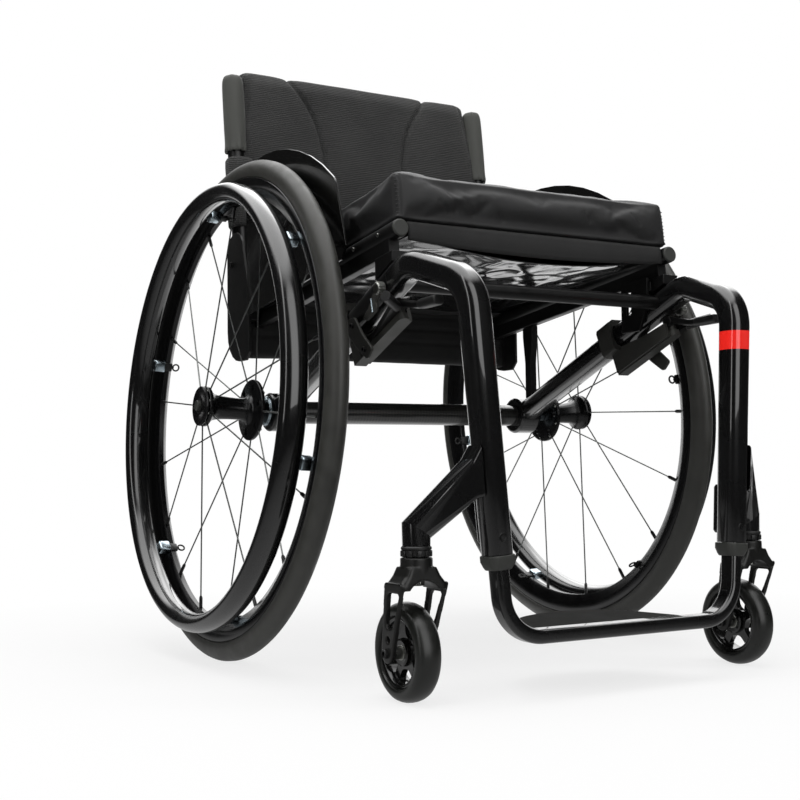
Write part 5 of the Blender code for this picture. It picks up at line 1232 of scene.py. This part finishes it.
def floor():
    bm = bmesh.new()
    bmesh.ops.create_circle(bm, cap_ends=True, segments=96, radius=12)
    mesh = bpy.data.meshes.new("studio_floor")
    bm.to_mesh(mesh)
    bm.free()
    made = bpy.data.objects.new("studio_floor", mesh)
    bpy.context.scene.collection.objects.link(made)
    finish = bpy.data.materials.new("white_paper_sweep")
    finish.use_nodes = True
    tree = finish.node_tree
    shader = tree.nodes["Principled BSDF"]
    shader.inputs["Base Color"].default_value = linear("#f2f2f2")
    shader.inputs["Roughness"].default_value = 0.9
    place = add(finish, "ShaderNodeTexCoord").outputs["Object"]
    far = add(finish, "ShaderNodeVectorMath", {0: place}, operation="LENGTH")
    fade = add(finish, "ShaderNodeMapRange", {"Value": far.outputs["Value"], "From Min": 0.3, "From Max": 0.9,
                                              "To Min": 0.75, "To Max": 1.0})
    rays = add(finish, "ShaderNodeLightPath")
    seen = add(finish, "ShaderNodeMath", {0: rays.outputs["Is Camera Ray"], 1: fade.outputs[0]}, operation="MULTIPLY")
    glow = add(finish, "ShaderNodeEmission", {"Color": (1, 1, 1, 1), "Strength": 1.0})
    eye = add(finish, "ShaderNodeMixShader", {0: seen.outputs[0], 1: shader.outputs[0], 2: glow.outputs[0]})
    heading = add(finish, "ShaderNodeVectorMath", {0: place}, operation="NORMALIZE")
    behind = add(finish, "ShaderNodeVectorMath", {0: heading.outputs["Vector"], 1: (0.5, 0.865, 0)},
                 operation="DOT_PRODUCT")
    back = add(finish, "ShaderNodeMapRange", {"Value": behind.outputs["Value"], "From Min": 0.74, "From Max": 0.92})
    near = add(finish, "ShaderNodeMapRange", {"Value": far.outputs["Value"], "From Min": 0.35, "From Max": 1.0,
                                              "To Min": 0.45, "To Max": 0.03})
    lit = add(finish, "ShaderNodeMath", {0: back.outputs[0], 1: near.outputs[0]}, operation="MAXIMUM")
    sheen = add(finish, "ShaderNodeEmission", {"Color": (1, 1, 1, 1), "Strength": lit.outputs[0]})
    mirrored = add(finish, "ShaderNodeMath", {0: rays.outputs["Is Glossy Ray"],
                                              1: rays.outputs["Is Transmission Ray"]}, operation="MAXIMUM")
    mixed = add(finish, "ShaderNodeMixShader", {0: mirrored.outputs[0], 1: eye.outputs[0], 2: sheen.outputs[0]})
    tree.links.new(mixed.outputs[0], tree.nodes["Material Output"].inputs["Surface"])
    mesh.materials.append(finish)


CAMERA_PLACE = (-0.8029, -1.3288, 0.2160)
CAMERA_YAW, CAMERA_PITCH, CAMERA_ROLL = radians(-30), radians(3.3), radians(-0.7)


def camera():
    data = bpy.data.cameras.new("camera")
    data.lens, data.sensor_width, data.shift_x = 56.43, 36, -0.0131
    data.clip_start = 0.05
    eye = bpy.data.objects.new("camera", data)
    turn = (Matrix.Rotation(CAMERA_YAW, 4, "Z") @ Matrix.Rotation(pi / 2 + CAMERA_PITCH, 4, "X")
            @ Matrix.Rotation(CAMERA_ROLL, 4, "Z"))
    eye.matrix_world = Matrix.Translation(CAMERA_PLACE) @ turn
    bpy.context.scene.collection.objects.link(eye)
    bpy.context.scene.camera = eye


studio()
softbox("overhead", (-0.3, -0.2, 2.2), (0, 0, 0.3), 1.8, 1.8, 30)
softbox("left_strip", (-2.2, -0.6, 0.9), (0, 0, 0.35), 0.7, 2.0, 22)
softbox("right_strip", (1.6, -1.6, 0.9), (0, 0, 0.35), 0.5, 2.0, 16)
floor()
camera()
bpy.context.scene.view_settings.view_transform = "Standard"
